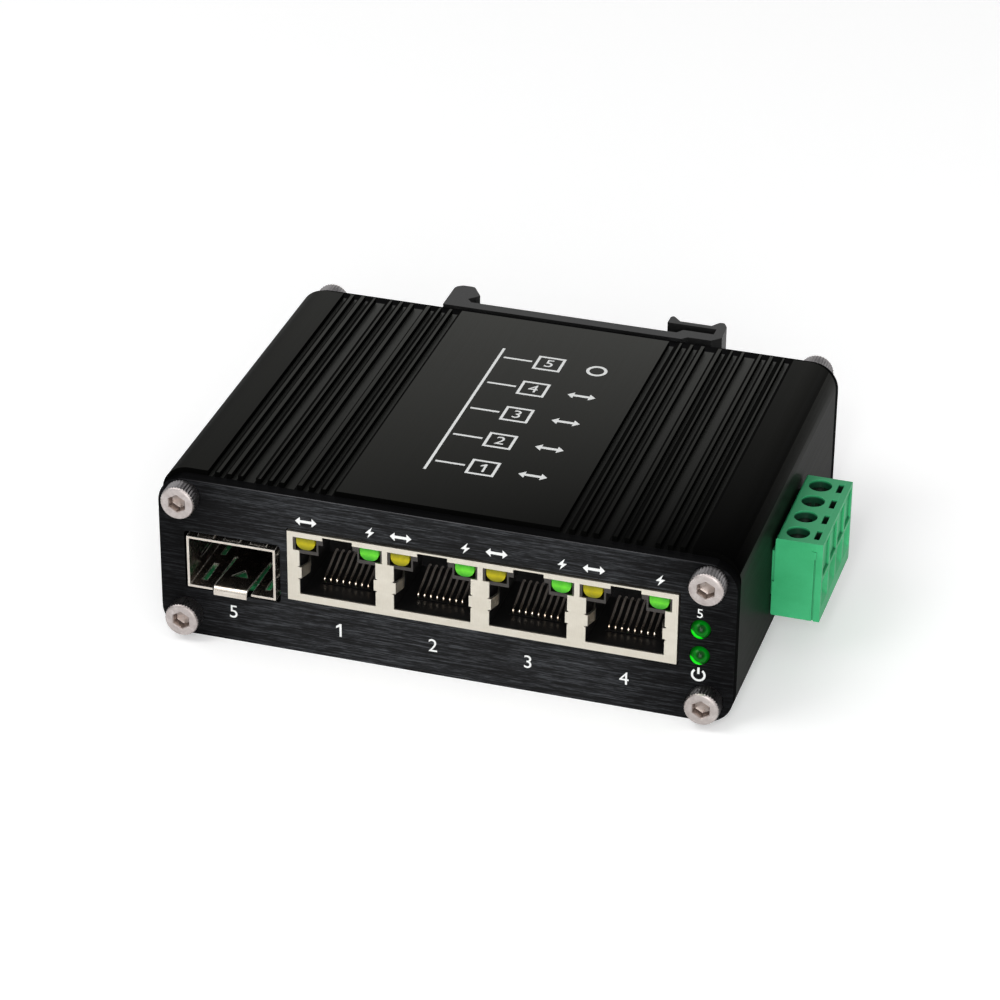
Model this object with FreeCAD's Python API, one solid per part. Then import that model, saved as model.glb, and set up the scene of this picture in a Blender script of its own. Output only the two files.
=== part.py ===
import FreeCAD, Part
import math, os
from FreeCAD import Vector

# DIN rail ethernet switch, lying on its underside. Millimetres.
# X runs to the right (the power terminal side), Y runs from the ports to the rail clip, Z is up.
# The origin is the centre of the housing's underside.

# --- Circuit board and its height in the housing ---
base_wall = 2.0                 # underside of the lower shell
space_under_board = 5.3
board_thickness = 1.6
board_play = 0.1                # spare height and width of the board in its slots
board_end_gap = 0.4             # between the board's ends and the end plates

# --- Network jack: four ports side by side in one shield ---
port_count = 4
port_pitch = 15.24
port_width = 12.3
port_height = 7.1               # plug cavity
port_sill = 1.3                 # shield below the cavity
jack_end_margin = 0.52          # shield beyond the outer ports' share of the width
jack_height = 12.2
jack_depth = 21.0
jack_standoff = 0.6             # feet of the jack body on the board
jack_sheet = 0.3
jack_proud = 0.4                # stands out of the front plate
foot_depth = 3.0
foot_setback = 8.0              # front foot behind the shield's face
cavity_depth = 13.5
latch_wide = 6.3                # lower step of the latch slot
latch_narrow = 4.8              # upper step of the latch slot
latch_step = 1.9
latch_depth = 9.0
led_window_reach = 7.2          # window's half width beside the port lights
led_band = 2.3                  # height of the window beside the port lights
led_width = 3.0
led_height = 2.05
led_offset = 5.15               # light's centre from the port's centre
led_depth = 6.0
led_corner = 1.3
led_shelf = 0.6                 # plastic between the cavity and a light
led_gap = 0.2                   # round a light in its recess
led_setback = 0.1               # light's face behind the shield's face
spring_height = 1.9
spring_bow = 0.65
spring_length = 4.4
spring_sheet = 0.3
spring_overlap = 0.1            # fold's overlap with the window's edge
spring_fold = 1.5               # radius of the leaf's bend
spring_raise = 0.2              # leaf's middle above the cavity's middle
window_nick = 0.3               # cuts above and below a leaf
contact_count = 8
contact_pitch = 1.02
contact_width = 0.4
contact_sheet = 0.3
contact_setback = 4.0           # from the jack's face to the contacts' bend
contact_run = 5.6
contact_rise = 2.3
contact_foot = 0.5              # straight height above the cavity's floor
contact_play = 0.1              # round the contacts in the body

# --- Module cage for a pluggable fibre module ---
cage_width = 14.5
cage_height = 9.0
cage_depth = 48.6
cage_sheet = 0.35
cage_proud = 0.6
tongue_width = 5.4
tongue_length = 10.0
tongue_slit = 0.5
tongue_lift = 0.8               # sprung height at the mouth
lip_reach = 0.8                 # in front of the mouth
lip_end = 0.3                   # lip's edge below the cage
lip_bend = 0.5                  # radius inside the lip's curl
latch_hole_width = 2.7
latch_hole_length = 2.5
latch_hole_start = 3.6
floor_slot_width = 0.8
floor_slot_length = 5.2
floor_slot_start = 2.0
floor_slot_pitch = 8.0
floor_slot_count = 4
wall_slot_length = 8.0
wall_slot_height = 0.8
wall_slot_start = 5.0
wall_slot_pitch = 3.3
finger_height = 0.5
finger_width = 2.6
finger_length = 2.8
finger_peak = 1.3               # highest point from the finger's front end
finger_root = 0.1               # overlap with the cage's walls
top_finger_pitch = 4.3
side_finger_pitch = 4.0
connector_side_gap = 0.6        # between the connector and the cage's walls
connector_height = 6.2
connector_depth = 8.5
connector_back_gap = 1.0
card_slot_wall = 1.6            # connector's ends beside the card slot
card_slot_height = 1.4
card_slot_level = 2.3
pins_per_row = 10
card_pin_pitch = 0.8
card_pin_width = 0.3
card_pin_sheet = 0.25
card_pin_setback = 1.2
card_pin_tail_gap = 0.1         # between the connector's back and the tails
card_lead_in = 0.5
connector_room = 1.0            # open floor in front of the connector

# --- Power terminal: header on the board, and the plug that slides into it ---
pole_count = 4
pole_pitch = 5.08
nose_length_spare = 0.3         # the nose is shorter than its poles by this
nose_height = 7.8
nose_clearance = 0.1
nose_tip_gap = 1.0
header_wall = 0.9
header_back = 1.5
header_depth = 12.0
header_gap = 1.75               # between the jack's back and the header
header_wall_gap = 0.3           # between the header and the housing's side
pin_size = 1.0
pin_bend = 1.6
pin_reach = 7.5
pin_tail = 1.9                  # below the board
pin_hole_radius = 0.85
plug_spare = 0.48               # the plug is longer than its poles by this
plug_height = 13.8
plug_depth = 7.75
plug_drop = 3.5                 # plug's underside below the nose
plug_wall_gap = 0.15
plug_relief = 0.3               # upper part stands back from the housing
plug_relief_level = 6.0
plug_edge = 0.35
cover_thickness = 1.0
screw_line = 3.15               # screws from the plug's inner face
well_radius = 1.85
clamp_length = 4.0
clamp_width = 3.8
clamp_height = 5.8
clamp_roof = 1.2
clamp_floor = 0.8
wire_room = 2.4                 # open height in a clamp below its contact
clamp_side = 0.65
clamp_play = 0.1
chamber_roof = 1.0
plug_screw_radius = 1.2
plug_head_height = 2.6
plug_screw_gap = 0.1            # round the screws in the plug
driver_slot_width = 0.6
driver_slot_depth = 0.7
driver_slot_turns = (-20, 55, 100, 20)
sleeve_size = 2.4
sleeve_bore = 1.2
tail_sheet = 0.5
tail_width = 2.2
tail_setback = 0.4              # from the clamp's outer side
test_slot_width = 0.9
test_slot_length = 2.8
test_slot_depth = 2.5
wire_width = 3.2
wire_height = 2.9
funnel_flare = 0.5              # sideways, at each side
funnel_rise = 0.4
funnel_drop = 1.5
funnel_corner = 0.4
pocket_depth = 0.45
pocket_rib = 0.9                # between neighbouring pockets
pocket_edge = 0.6               # above and below the pockets
snap_length = 0.7
snap_height = 1.3
snap_thickness = 0.4
snap_drop = 2.0                 # tab's middle below the plug's top
snap_proud = 0.2                # tab stands out of the plug's end
joint_groove = 0.3              # along the joint between body and cover

# --- Status lights beside the jack ---
status_radius = 1.5
status_low = 2.67               # lower light's centre above the board
status_pitch = 4.58
status_reach = 1.35             # dome in front of the plate
holder_width = 4.4
holder_depth = 5.0
holder_top = 2.2                # holder above the upper light's centre
lead_size = 0.45
lead_spread = 1.27
lead_setback = 1.2              # each row of leads turns down this far behind the last
light_hole_gap = 0.1

# --- Housing: two aluminium extrusions and two end plates ---
cage_inset = 4.67               # from the left side to the cage
cage_to_jack = 1.96
jack_to_light = 3.47
light_inset = 5.4
space_above_jack = 6.9
shell_length = 63.5
plate_thickness = 2.0
corner_radius = 4.5
inner_corner = 1.0
side_wall = 1.8
roof_wall = 1.4                 # below the grooves
rib_height = 0.9
rib_width = 0.8
rib_pitch = 1.9
ribs_per_group = 3
groups_per_side = 3
group_gap = 2.9                 # between the centres of neighbouring groups' outer ribs
panel_half_width = 17.9
panel_gap = 1.4                 # groove beside the centre panel
shoulder_gap = 1.1              # groove beside the shoulder
ledge_reach = 1.2
ledge_height = 1.0
lip_height = 0.7
tongue_sheet = 0.8
seam_tongue = 1.0
seam_clearance = 0.1
window_gap = 0.3
cage_opening_gap = 0.6
jack_opening_gap = 0.2

# --- Fasteners ---
screw_radius = 1.5
screw_fit = 0.04                # radial, in a threaded hole
screw_hole_gap = 0.15           # radial, in a plain hole
screw_length = 8.0
head_radius = 2.8
head_height = 3.0
head_edge = 0.15
hex_width = 2.5
hex_depth = 1.5
screw_inset_x = 4.2
screw_inset_z = 3.83
channel_radius = 2.9
channel_slit = 1.4

# --- Rail clip ---
rail_width = 35.0
clip_inset = 0.3                # clip's ends from the housing's top and underside
clip_base = 2.0
clip_left = 4.1                 # left end beyond the rail's edge
hook_overlap = 0.9
hook_height = 7.6
hook_lip = 4.1
notch_depth = 0.7
latch_overlap = 1.75
latch_bar_low = 5.1
latch_bar = 1.0
latch_peak = 7.7
arm_lift = 0.9
arm_thickness = 2.3
arm_reach = 8.2                 # outer end beyond the rail's edge
arm_post = 1.6
clip_screw_spread = 18.0
clip_screw_length = 6.0
sink_radius = 2.75
clip_hex_width = 2.0
clip_hex_depth = 1.2

# --- Parts on the board ---
switch_chip_size = 14.0
switch_chip_height = 1.4
controller_size = 7.0
controller_height = 0.9
memory_length = 5.2
memory_width = 4.0
memory_height = 1.7
crystal_length = 11.4
crystal_width = 4.7
crystal_height = 4.0
transformer_length = 15.0
transformer_width = 9.0
transformer_height = 5.6
inductor_size = 12.0
inductor_height = 7.0
inductor_corner = 2.0
inductor_drum = 0.6             # height of the drum's end above the block
capacitor_radius = 4.0
capacitor_height = 10.5
capacitor_edge = 0.5
part_gap = 2.0

# --- Places that follow from the sizes ---
board_bottom = base_wall + space_under_board
board_top = board_bottom + board_thickness
jack_width = port_count * port_pitch + 2 * jack_end_margin
jack_bottom = board_top + jack_standoff
jack_top = jack_bottom + jack_height
housing_width = cage_inset + cage_width + cage_to_jack + jack_width + jack_to_light + light_inset
housing_height = jack_top + space_above_jack
half_width = housing_width / 2
inner_half = half_width - side_wall
groove_floor = housing_height - rib_height
roof_underside = groove_floor - roof_wall
seam_height = board_top + lip_height
front_y = -shell_length / 2
rear_y = shell_length / 2
front_face = front_y - plate_thickness
rear_face = rear_y + plate_thickness
cage_left = -half_width + cage_inset
cage_right = cage_left + cage_width
cage_centre = (cage_left + cage_right) / 2
cage_mouth = front_face - cage_proud
cage_back = cage_mouth + cage_depth
cage_top = board_top + cage_height
connector_width = cage_width - 2 * (cage_sheet + connector_side_gap)
card_slot_width = connector_width - 2 * card_slot_wall
jack_left = cage_right + cage_to_jack
jack_right = jack_left + jack_width
jack_face = front_face - jack_proud
jack_back = jack_face + jack_depth
status_levels = [board_top + status_low + i * status_pitch for i in range(2)]
port_floor = jack_bottom + port_sill
port_roof = port_floor + port_height
led_low = port_roof + led_shelf
light_x = half_width - light_inset
pole_span = pole_count * pole_pitch
nose_length = pole_span - nose_length_spare
header_length = nose_length + 2 * (nose_clearance + header_wall)
terminal_y = jack_back + header_gap + header_length / 2
header_right = inner_half - header_wall_gap
header_left = header_right - header_depth
nose_bottom = board_top + header_wall + nose_clearance
nose_top = nose_bottom + nose_height
nose_tip = header_left + header_back + nose_tip_gap
pin_level = (nose_bottom + nose_top) / 2
plug_length = pole_span + plug_spare
plug_inner = half_width + plug_wall_gap
plug_outer = plug_inner + plug_depth
plug_bottom = nose_bottom - plug_drop
plug_top = plug_bottom + plug_height
cover_face = plug_outer - cover_thickness
screw_x = plug_inner + screw_line
tail_bottom = pin_level - sleeve_size / 2
clamp_bottom = tail_bottom - wire_room - clamp_floor
clamp_top = clamp_bottom + clamp_height
clamp_inner = screw_x - clamp_length / 2
chamber_top = clamp_top + clamp_play
well_floor = chamber_top + chamber_roof
wire_bottom = clamp_bottom + clamp_floor
fixing_x = half_width - screw_inset_x
fixing_levels = (screw_inset_z, housing_height - screw_inset_z)
clip_x = clip_screw_spread / 2


def steps(count, pitch):
    """Offsets of evenly spaced copies, centred on zero."""
    return [(i - (count - 1) / 2) * pitch for i in range(count)]


def block(x, y, z):
    """Rectangular block; each argument is a pair of low and high."""
    size = [pair[1] - pair[0] for pair in (x, y, z)]
    return Part.makeBox(*size, Vector(x[0], y[0], z[0]))


def rod(axis, centre, span, radius):
    """Cylinder along an axis through a centre given in the other two coordinates."""
    a, b = centre
    low, high = span
    start, way = {
        "x": (Vector(low, a, b), Vector(1, 0, 0)),
        "y": (Vector(a, low, b), Vector(0, 1, 0)),
        "z": (Vector(a, b, low), Vector(0, 0, 1)),
    }[axis]
    return Part.makeCylinder(radius, high - low, start, way)


def outline(corners, place):
    """Closed wire through corners (u, v) or (u, v, radius), placed in space by a function."""
    count = len(corners)
    starts = []
    middles = []
    ends = []
    for i, corner in enumerate(corners):
        here = Vector(corner[0], corner[1], 0)
        back = Vector(corners[i - 1][0], corners[i - 1][1], 0).sub(here).normalize()
        following = corners[(i + 1) % count]
        ahead = Vector(following[0], following[1], 0).sub(here).normalize()
        radius = corner[2] if len(corner) > 2 else 0
        half_angle = back.getAngle(ahead) / 2
        reach = radius / math.tan(half_angle)
        inward = back.add(ahead)
        if radius:
            inward.normalize()
        starts.append(here + back * reach)
        middles.append(here + inward * (radius / math.sin(half_angle) - radius))
        ends.append(here + ahead * reach)
    edges = []
    for i in range(count):
        start, middle, end = [place(p.x, p.y) for p in (starts[i], middles[i], ends[i])]
        before = place(ends[i - 1].x, ends[i - 1].y)
        if before.distanceToPoint(start) > 1e-6:
            edges.append(Part.LineSegment(before, start).toShape())
        if start.distanceToPoint(end) > 1e-6:
            edges.append(Part.Arc(start, middle, end).toShape())
    return Part.Wire(edges)


def prism(corners, plane, span):
    """Solid of an outline drawn in a plane, from low to high along the remaining axis."""
    low, high = span
    travel = high - low
    place, way = {
        "xy": (lambda u, v: Vector(u, v, low), Vector(0, 0, travel)),
        "xz": (lambda u, v: Vector(u, low, v), Vector(0, travel, 0)),
        "yz": (lambda u, v: Vector(low, u, v), Vector(travel, 0, 0)),
    }[plane]
    return Part.Face(outline(corners, place)).extrude(way)


def rectangle(u, v, radius=0):
    """Corners of a rectangle between two pairs, with one corner radius."""
    return [(u[0], v[0], radius), (u[1], v[0], radius), (u[1], v[1], radius), (u[0], v[1], radius)]


def mirrored(corners):
    """The same corners on the other side of the centre line."""
    return [(-corner[0],) + tuple(corner[1:]) for corner in reversed(corners)]


def around(centre, width):
    """Pair of low and high about a centre."""
    return (centre - width / 2, centre + width / 2)


def joined(first, others):
    """One solid of pieces that meet."""
    return first.fuse(others).removeSplitter() if others else first


def without(shape, cutters):
    """A solid less its cut-outs."""
    return shape.cut(cutters).removeSplitter()


def rib_centres():
    """Centres of the roof's ribs on the right side, from the centre panel outwards."""
    first = panel_half_width + panel_gap + rib_width / 2
    group_pitch = (ribs_per_group - 1) * rib_pitch + group_gap
    return [first + group * group_pitch + rib * rib_pitch
            for group in range(groups_per_side) for rib in range(ribs_per_group)]


def roof_corners():
    """Right half of the roof's upper side, from the housing's corner to the centre panel."""
    centres = rib_centres()
    shoulder = centres[-1] + rib_width / 2 + shoulder_gap
    corners = [(half_width, housing_height, corner_radius)]
    corners += [(shoulder, housing_height), (shoulder, groove_floor)]
    for centre in reversed(centres):
        left, right = around(centre, rib_width)
        corners += [(right, groove_floor), (right, housing_height)]
        corners += [(left, housing_height), (left, groove_floor)]
    corners += [(panel_half_width, groove_floor), (panel_half_width, housing_height)]
    return corners


def screw_channels(shell, level):
    """Adds the open channels in a shell's corners that the end plates' screws bite into."""
    bosses = []
    bores = []
    for side in (-1, 1):
        centre = (side * fixing_x, level)
        bosses.append(rod("y", centre, (front_y, rear_y), channel_radius))
        bores.append(rod("y", centre, (front_y, rear_y), screw_radius + screw_fit))
        slit_end = side * (fixing_x - channel_radius - 1)
        slit = sorted((side * fixing_x, slit_end))
        bores.append(block(slit, (front_y, rear_y), around(level, channel_slit)))
    return without(joined(shell, bosses), bores)


def plug_window():
    """Opening in the right wall that the plug's nose goes through."""
    grown = nose_length + 2 * window_gap
    span = (nose_bottom - window_gap, nose_top + window_gap)
    return block((inner_half - ledge_reach - 1, half_width + 1), around(terminal_y, grown), span)


def upper_shell():
    """Roof and side walls as one extrusion, with the ribs and the seam's rebate."""
    right = roof_corners()
    inner = [(-inner_half, seam_height), (-inner_half, roof_underside, inner_corner)]
    inner += [(inner_half, roof_underside, inner_corner), (inner_half, seam_height)]
    outer = [(half_width, seam_height)] + right + mirrored(right) + [(-half_width, seam_height)]
    shell = screw_channels(prism(outer + inner, "xz", (front_y, rear_y)), fixing_levels[1])
    rebate_top = seam_height + seam_tongue + seam_clearance
    cuts = [plug_window()]
    for side in (-1, 1):
        rebate = sorted((side * inner_half, side * (inner_half + tongue_sheet + seam_clearance)))
        cuts.append(block(rebate, (front_y, rear_y), (seam_height, rebate_top)))
    return without(shell, cuts)


def lower_shell():
    """Underside and the foot of the walls, with the board's slots and the seam's tongue."""
    ledge = inner_half - ledge_reach
    tongue = inner_half + tongue_sheet
    right = [
        (inner_half, base_wall, inner_corner),
        (inner_half, board_bottom - ledge_height),
        (ledge, board_bottom - ledge_height),
        (ledge, board_bottom),
        (inner_half, board_bottom),
        (inner_half, board_top + board_play),
        (ledge, board_top + board_play),
        (ledge, seam_height),
        (inner_half, seam_height),
        (inner_half, seam_height + seam_tongue),
        (tongue, seam_height + seam_tongue),
        (tongue, seam_height),
        (half_width, seam_height),
        (half_width, 0, corner_radius),
    ]
    shell = prism(right + mirrored(right), "xz", (front_y, rear_y))
    shell = screw_channels(shell, fixing_levels[0])
    header_room = block((ledge - 1, inner_half), around(terminal_y, header_length + 2 * window_gap),
                        (board_top, seam_height + seam_tongue))
    return without(shell, [plug_window(), header_room])


def end_plate(span):
    """Flat plate that closes one end; its top lies level with the roof's grooves."""
    corners = rectangle((-half_width, half_width), (0, groove_floor), corner_radius)
    plate = prism(corners, "xz", span)
    holes = [rod("y", (side * fixing_x, level), span, screw_radius + screw_hole_gap)
             for side in (-1, 1) for level in fixing_levels]
    return without(plate, holes)


def front_panel():
    """Front plate with its openings for the cage, the jack and the two status lights."""
    span = (front_face, front_y)
    gap = cage_opening_gap
    cage = rectangle((cage_left - gap, cage_right + gap), (board_top - gap, cage_top + gap), gap)
    gap = jack_opening_gap
    jack = rectangle((jack_left - gap, jack_right + gap), (jack_bottom - gap, jack_top + gap), gap)
    cuts = [prism(cage, "xz", span), prism(jack, "xz", span)]
    for level in status_levels:
        cuts.append(rod("y", (light_x, level), span, status_radius + light_hole_gap))
    return without(end_plate(span), cuts)


def rear_panel():
    """Rear plate, tapped for the two screws of the rail clip."""
    span = (rear_y, rear_face)
    holes = [rod("y", (side * clip_x, housing_height / 2), span, screw_radius + screw_fit)
             for side in (-1, 1)]
    return without(end_plate(span), holes)


def cap_screw(x, z, seat, way):
    """Socket head cap screw; its head stands on the seat and its shank goes the given way."""
    head = Part.makeCylinder(head_radius, head_height, Vector(x, seat, z), Vector(0, -way, 0))
    rim = [edge for edge in head.Edges
           if abs(edge.CenterOfMass.y - (seat - way * head_height)) < 1e-6 and edge.Length > 1]
    head = head.makeChamfer(head_edge, rim)
    shank = Part.makeCylinder(screw_radius, screw_length, Vector(x, seat, z), Vector(0, way, 0))
    corner = hex_width / math.sqrt(3)
    angles = [math.radians(60 * i) for i in range(6)]
    hexagon = [(x + corner * math.cos(a), z + corner * math.sin(a)) for a in angles]
    mouth = seat - way * head_height
    socket = prism(hexagon, "xz", sorted((mouth, mouth + way * hex_depth)))
    return without(joined(head, [shank]), [socket])


def plate_screws(seat, way):
    """Four cap screws at the corners of an end plate."""
    return Part.makeCompound([cap_screw(side * fixing_x, level, seat, way)
                              for side in (-1, 1) for level in fixing_levels])


def main_board():
    """Circuit board, slid into the lower shell's slots, drilled for the header's pins."""
    half = inner_half - board_play
    board = block((-half, half), (front_y + board_end_gap, rear_y - board_end_gap),
                  (board_bottom, board_top))
    hole_x = header_left - pin_bend + pin_size / 2
    holes = [rod("z", (hole_x, terminal_y + y), (board_bottom, board_top), pin_hole_radius)
             for y in steps(pole_count, pole_pitch)]
    return without(board, holes)


def port_centres():
    """Centres of the ports along the jack."""
    middle = (jack_left + jack_right) / 2
    return [middle + x for x in steps(port_count, port_pitch)]


def spring_level():
    """Middle height of the shield's side springs."""
    return port_floor + port_height / 2 + spring_raise


def port_window(centre):
    """Opening in the shield's face: cavity, wider band for the lights, and latch notch."""
    half = port_width / 2
    low = spring_level() - spring_height / 2
    high = spring_level() + spring_height / 2
    nick = window_nick
    band_top = led_low + led_band
    right = [
        (half, port_floor),
        (half, low - nick),
        (half + nick, low - nick / 2),
        (half, low),
        (half, high),
        (half + nick, high + nick / 2),
        (half, high + nick),
        (half, led_low),
        (led_window_reach, led_low),
        (led_window_reach, band_top),
        (latch_narrow / 2, band_top),
        (latch_narrow / 2, jack_top - jack_sheet),
    ]
    corners = [(centre + x, z) for x, z in right + mirrored(right)]
    return prism(corners, "xz", (jack_face, jack_face + jack_sheet))


def side_spring(centre, side):
    """Leaf folded in from the edge of a port's window that grounds the plug."""
    edge = -port_width / 2
    crest = edge + spring_bow
    path = [
        (edge - spring_overlap, 0),
        (edge + spring_sheet, 0),
        (crest + spring_sheet, spring_length / 2, spring_fold),
        (edge + spring_sheet, spring_length),
        (edge, spring_length),
        (crest, spring_length / 2, spring_fold - spring_sheet),
        (edge, jack_sheet),
        (edge - spring_overlap, jack_sheet),
    ]
    corners = [(centre - side * x, jack_face + y, *radius) for x, y, *radius in path]
    return prism(corners, "xy", around(spring_level(), spring_height))


def jack_shield():
    """Sheet metal shield over the four ports, open underneath."""
    outer = block((jack_left, jack_right), (jack_face, jack_back), (jack_bottom, jack_top))
    t = jack_sheet
    inner = block((jack_left + t, jack_right - t), (jack_face + t, jack_back - t),
                  (jack_bottom, jack_top - t))
    shield = without(outer, [inner] + [port_window(x) for x in port_centres()])
    springs = [side_spring(x, side) for x in port_centres() for side in (-1, 1)]
    return joined(shield, springs)


def port_cavity(centre):
    """Room for one plug, its latch, its two lights and the contacts' tails."""
    face = jack_face + jack_sheet
    top = jack_top - jack_sheet
    cuts = [
        block(around(centre, port_width), (face, face + cavity_depth), (port_floor, port_roof)),
        block(around(centre, latch_wide), (face, face + latch_depth),
              (port_roof, port_roof + latch_step)),
        block(around(centre, latch_narrow), (face, face + latch_depth),
              (port_roof + latch_step, top)),
    ]
    for side in (-1, 1):
        room = led_width + 2 * led_gap
        cuts.append(block(around(centre + side * led_offset, room), (face, jack_face + led_depth),
                          (led_low, led_low + led_band + led_gap)))
    comb = contact_count * contact_pitch
    bend = jack_face + contact_setback
    cuts.append(block(around(centre, comb), (bend - contact_play, bend + contact_sheet + contact_play),
                      (jack_bottom, port_floor)))
    return cuts


def jack_housing():
    """Moulded insulator inside the shield, with two feet strips on the board."""
    t = jack_sheet
    left = jack_left + t
    right = jack_right - t
    front = jack_face + t
    back = jack_back - t
    body = block((left, right), (front, back), (jack_bottom, jack_top - t))
    feet = [block((left, right), (y, y + foot_depth), (board_top, jack_bottom))
            for y in (front + foot_setback, back - foot_depth)]
    cuts = [cut for x in port_centres() for cut in port_cavity(x)]
    return without(joined(body, feet), cuts)


def jack_contacts(centre):
    """Eight spring wires of a port: a tail on the board, a bend and a rising free end."""
    bend = jack_face + contact_setback
    slope = math.atan2(contact_rise, contact_run)
    t = contact_sheet
    knee = port_floor + contact_foot
    end = (bend + contact_run, knee + contact_rise)
    inner_knee = knee - t / math.cos(slope) + t * math.tan(slope)
    side = [
        (bend, board_top),
        (bend, knee),
        end,
        (end[0] + t * math.sin(slope), end[1] - t * math.cos(slope)),
        (bend + t, inner_knee),
        (bend + t, board_top),
    ]
    wires = [prism(side, "yz", around(centre + x, contact_width))
             for x in steps(contact_count, contact_pitch)]
    return Part.makeCompound(wires)


def port_light(centre, side):
    """Lens of a port's light, rounded at its lower corners."""
    left, right = around(centre + side * led_offset, led_width)
    low = led_low + led_gap
    high = low + led_height
    corners = [(left, low, led_corner), (right, low, led_corner), (right, high), (left, high)]
    return prism(corners, "xz", (jack_face + led_setback, jack_face + led_depth))


def cage_tongue():
    """Latch tongue of the cage's floor, sprung up to a curled lip, with the module's catch hole."""
    t = cage_sheet
    root = cage_mouth + tongue_length
    flat = cage_mouth + lip_bend
    crest = board_top + tongue_lift
    lip = cage_mouth - lip_reach
    side = [
        (root, board_top),
        (root, board_top + t),
        (flat, crest + t),
        (lip, crest + t, lip_bend + t),
        (lip, board_top - lip_end),
        (lip + t, board_top - lip_end),
        (lip + t, crest, lip_bend),
        (flat, crest),
    ]
    tongue = prism(side, "yz", around(cage_centre, tongue_width))
    y = cage_mouth + latch_hole_start
    triangle = [(cage_centre - latch_hole_width / 2, y), (cage_centre + latch_hole_width / 2, y),
                (cage_centre, y + latch_hole_length)]
    return without(tongue, [prism(triangle, "xy", (board_top, crest + t))])


def cage_fingers():
    """Springs round the cage's mouth that touch the front plate's opening."""
    start = cage_mouth + cage_proud - finger_root
    end = start + finger_length
    bump = [(start, 0), (start + finger_peak, finger_height), (end, 0)]
    fingers = []
    for x in steps(3, top_finger_pitch):
        side = [(y, cage_top + z) for y, z in bump]
        side += [(end, cage_top - finger_root), (start, cage_top - finger_root)]
        fingers.append(prism(side, "yz", around(cage_centre + x, finger_width)))
    for z in steps(2, side_finger_pitch):
        for way, wall in ((-1, cage_left), (1, cage_right)):
            plan = [(wall + way * reach, y) for y, reach in bump]
            plan += [(wall - way * finger_root, end), (wall - way * finger_root, start)]
            level = board_top + cage_height / 2 + z
            fingers.append(prism(plan, "xy", around(level, finger_width)))
    return fingers


def module_cage():
    """Folded sheet cage: a tube with a slotted floor, a latch tongue and ground fingers."""
    t = cage_sheet
    outer = block((cage_left, cage_right), (cage_mouth, cage_back), (board_top, cage_top))
    inner = block((cage_left + t, cage_right - t), (cage_mouth, cage_back - t),
                  (board_top + t, cage_top - t))
    floor = (board_top, board_top + t)
    cut_width = tongue_width + 2 * tongue_slit
    cuts = [inner]
    cuts.append(block(around(cage_centre, cut_width), (cage_mouth, cage_mouth + tongue_length), floor))
    rear_room = connector_back() - connector_depth - connector_room
    cuts.append(block((cage_left + t, cage_right - t), (rear_room, cage_back - t), floor))
    slot_x = (cage_width / 2 + cut_width / 2) / 2
    for side in (-1, 1):
        for row in range(floor_slot_count):
            y = cage_mouth + floor_slot_start + row * floor_slot_pitch
            cuts.append(block(around(cage_centre + side * slot_x, floor_slot_width),
                              (y, y + floor_slot_length), floor))
        wall = sorted((cage_centre + side * cage_width / 2,
                       cage_centre + side * (cage_width / 2 - t)))
        y = cage_mouth + wall_slot_start
        for z in steps(2, wall_slot_pitch):
            cuts.append(block(wall, (y, y + wall_slot_length),
                              around(board_top + cage_height / 2 + z, wall_slot_height)))
    shell = without(outer, cuts)
    return joined(shell, [cage_tongue()] + cage_fingers())


def connector_back():
    """Rear face of the module's edge connector."""
    return cage_back - cage_sheet - connector_back_gap


def module_connector():
    """Edge connector at the back of the cage; its card slot runs through to the tails."""
    back = connector_back()
    front = back - connector_depth
    body = block(around(cage_centre, connector_width), (front, back),
                 (board_top, board_top + connector_height))
    low = board_top + card_slot_level
    slot = block(around(cage_centre, card_slot_width), (front, back), (low, low + card_slot_height))
    lead = card_lead_in
    mouth = [(front, low - lead), (front + lead, low), (front + lead, low + card_slot_height),
             (front, low + card_slot_height + lead)]
    return without(body, [slot, prism(mouth, "yz", around(cage_centre, card_slot_width))])


def module_contacts():
    """Two rows of contacts: strips in the card slot that turn down to the board behind it."""
    back = connector_back()
    front = back - connector_depth + card_pin_setback
    t = card_pin_sheet
    low = board_top + card_slot_level
    pins = []
    for row, level in ((0, low), (1, low + card_slot_height - t)):
        heel = back + card_pin_tail_gap + t
        side = [(front, level), (heel - t, level), (heel - t, board_top), (heel, board_top),
                (heel, level + t), (front, level + t)]
        for x in steps(pins_per_row, card_pin_pitch):
            centre = cage_centre + x + (row - 0.5) * card_pin_pitch / 2
            pins.append(prism(side, "yz", around(centre, card_pin_width)))
    return Part.makeCompound(pins)


def light_holder():
    """Block on the board that holds the two status lights behind the front plate."""
    top = status_levels[1] + holder_top
    body = block(around(light_x, holder_width), (front_y, front_y + holder_depth), (board_top, top))
    holes = [rod("y", (light_x, level), (front_y, front_y + holder_depth), status_radius)
             for level in status_levels]
    return without(body, holes)


def status_light(row):
    """Domed light with two leads that turn down to the board."""
    level = status_levels[row]
    dome_centre = front_face - status_reach + status_radius
    back = front_y + holder_depth
    body = rod("y", (light_x, level), (dome_centre, back), status_radius)
    dome = Part.makeSphere(status_radius, Vector(light_x, dome_centre, level), Vector(0, -1, 0), 0)
    heel = back + (row + 1) * lead_setback
    side = [(back, level - lead_size / 2), (heel - lead_size, level - lead_size / 2),
            (heel - lead_size, board_top), (heel, board_top),
            (heel, level + lead_size / 2), (back, level + lead_size / 2)]
    leads = [prism(side, "yz", around(light_x + x, lead_size)) for x in steps(2, lead_spread)]
    return joined(body, [dome] + leads)


def pole_places():
    """Centres of the terminal's poles along Y."""
    return [terminal_y + y for y in steps(pole_count, pole_pitch)]


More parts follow.
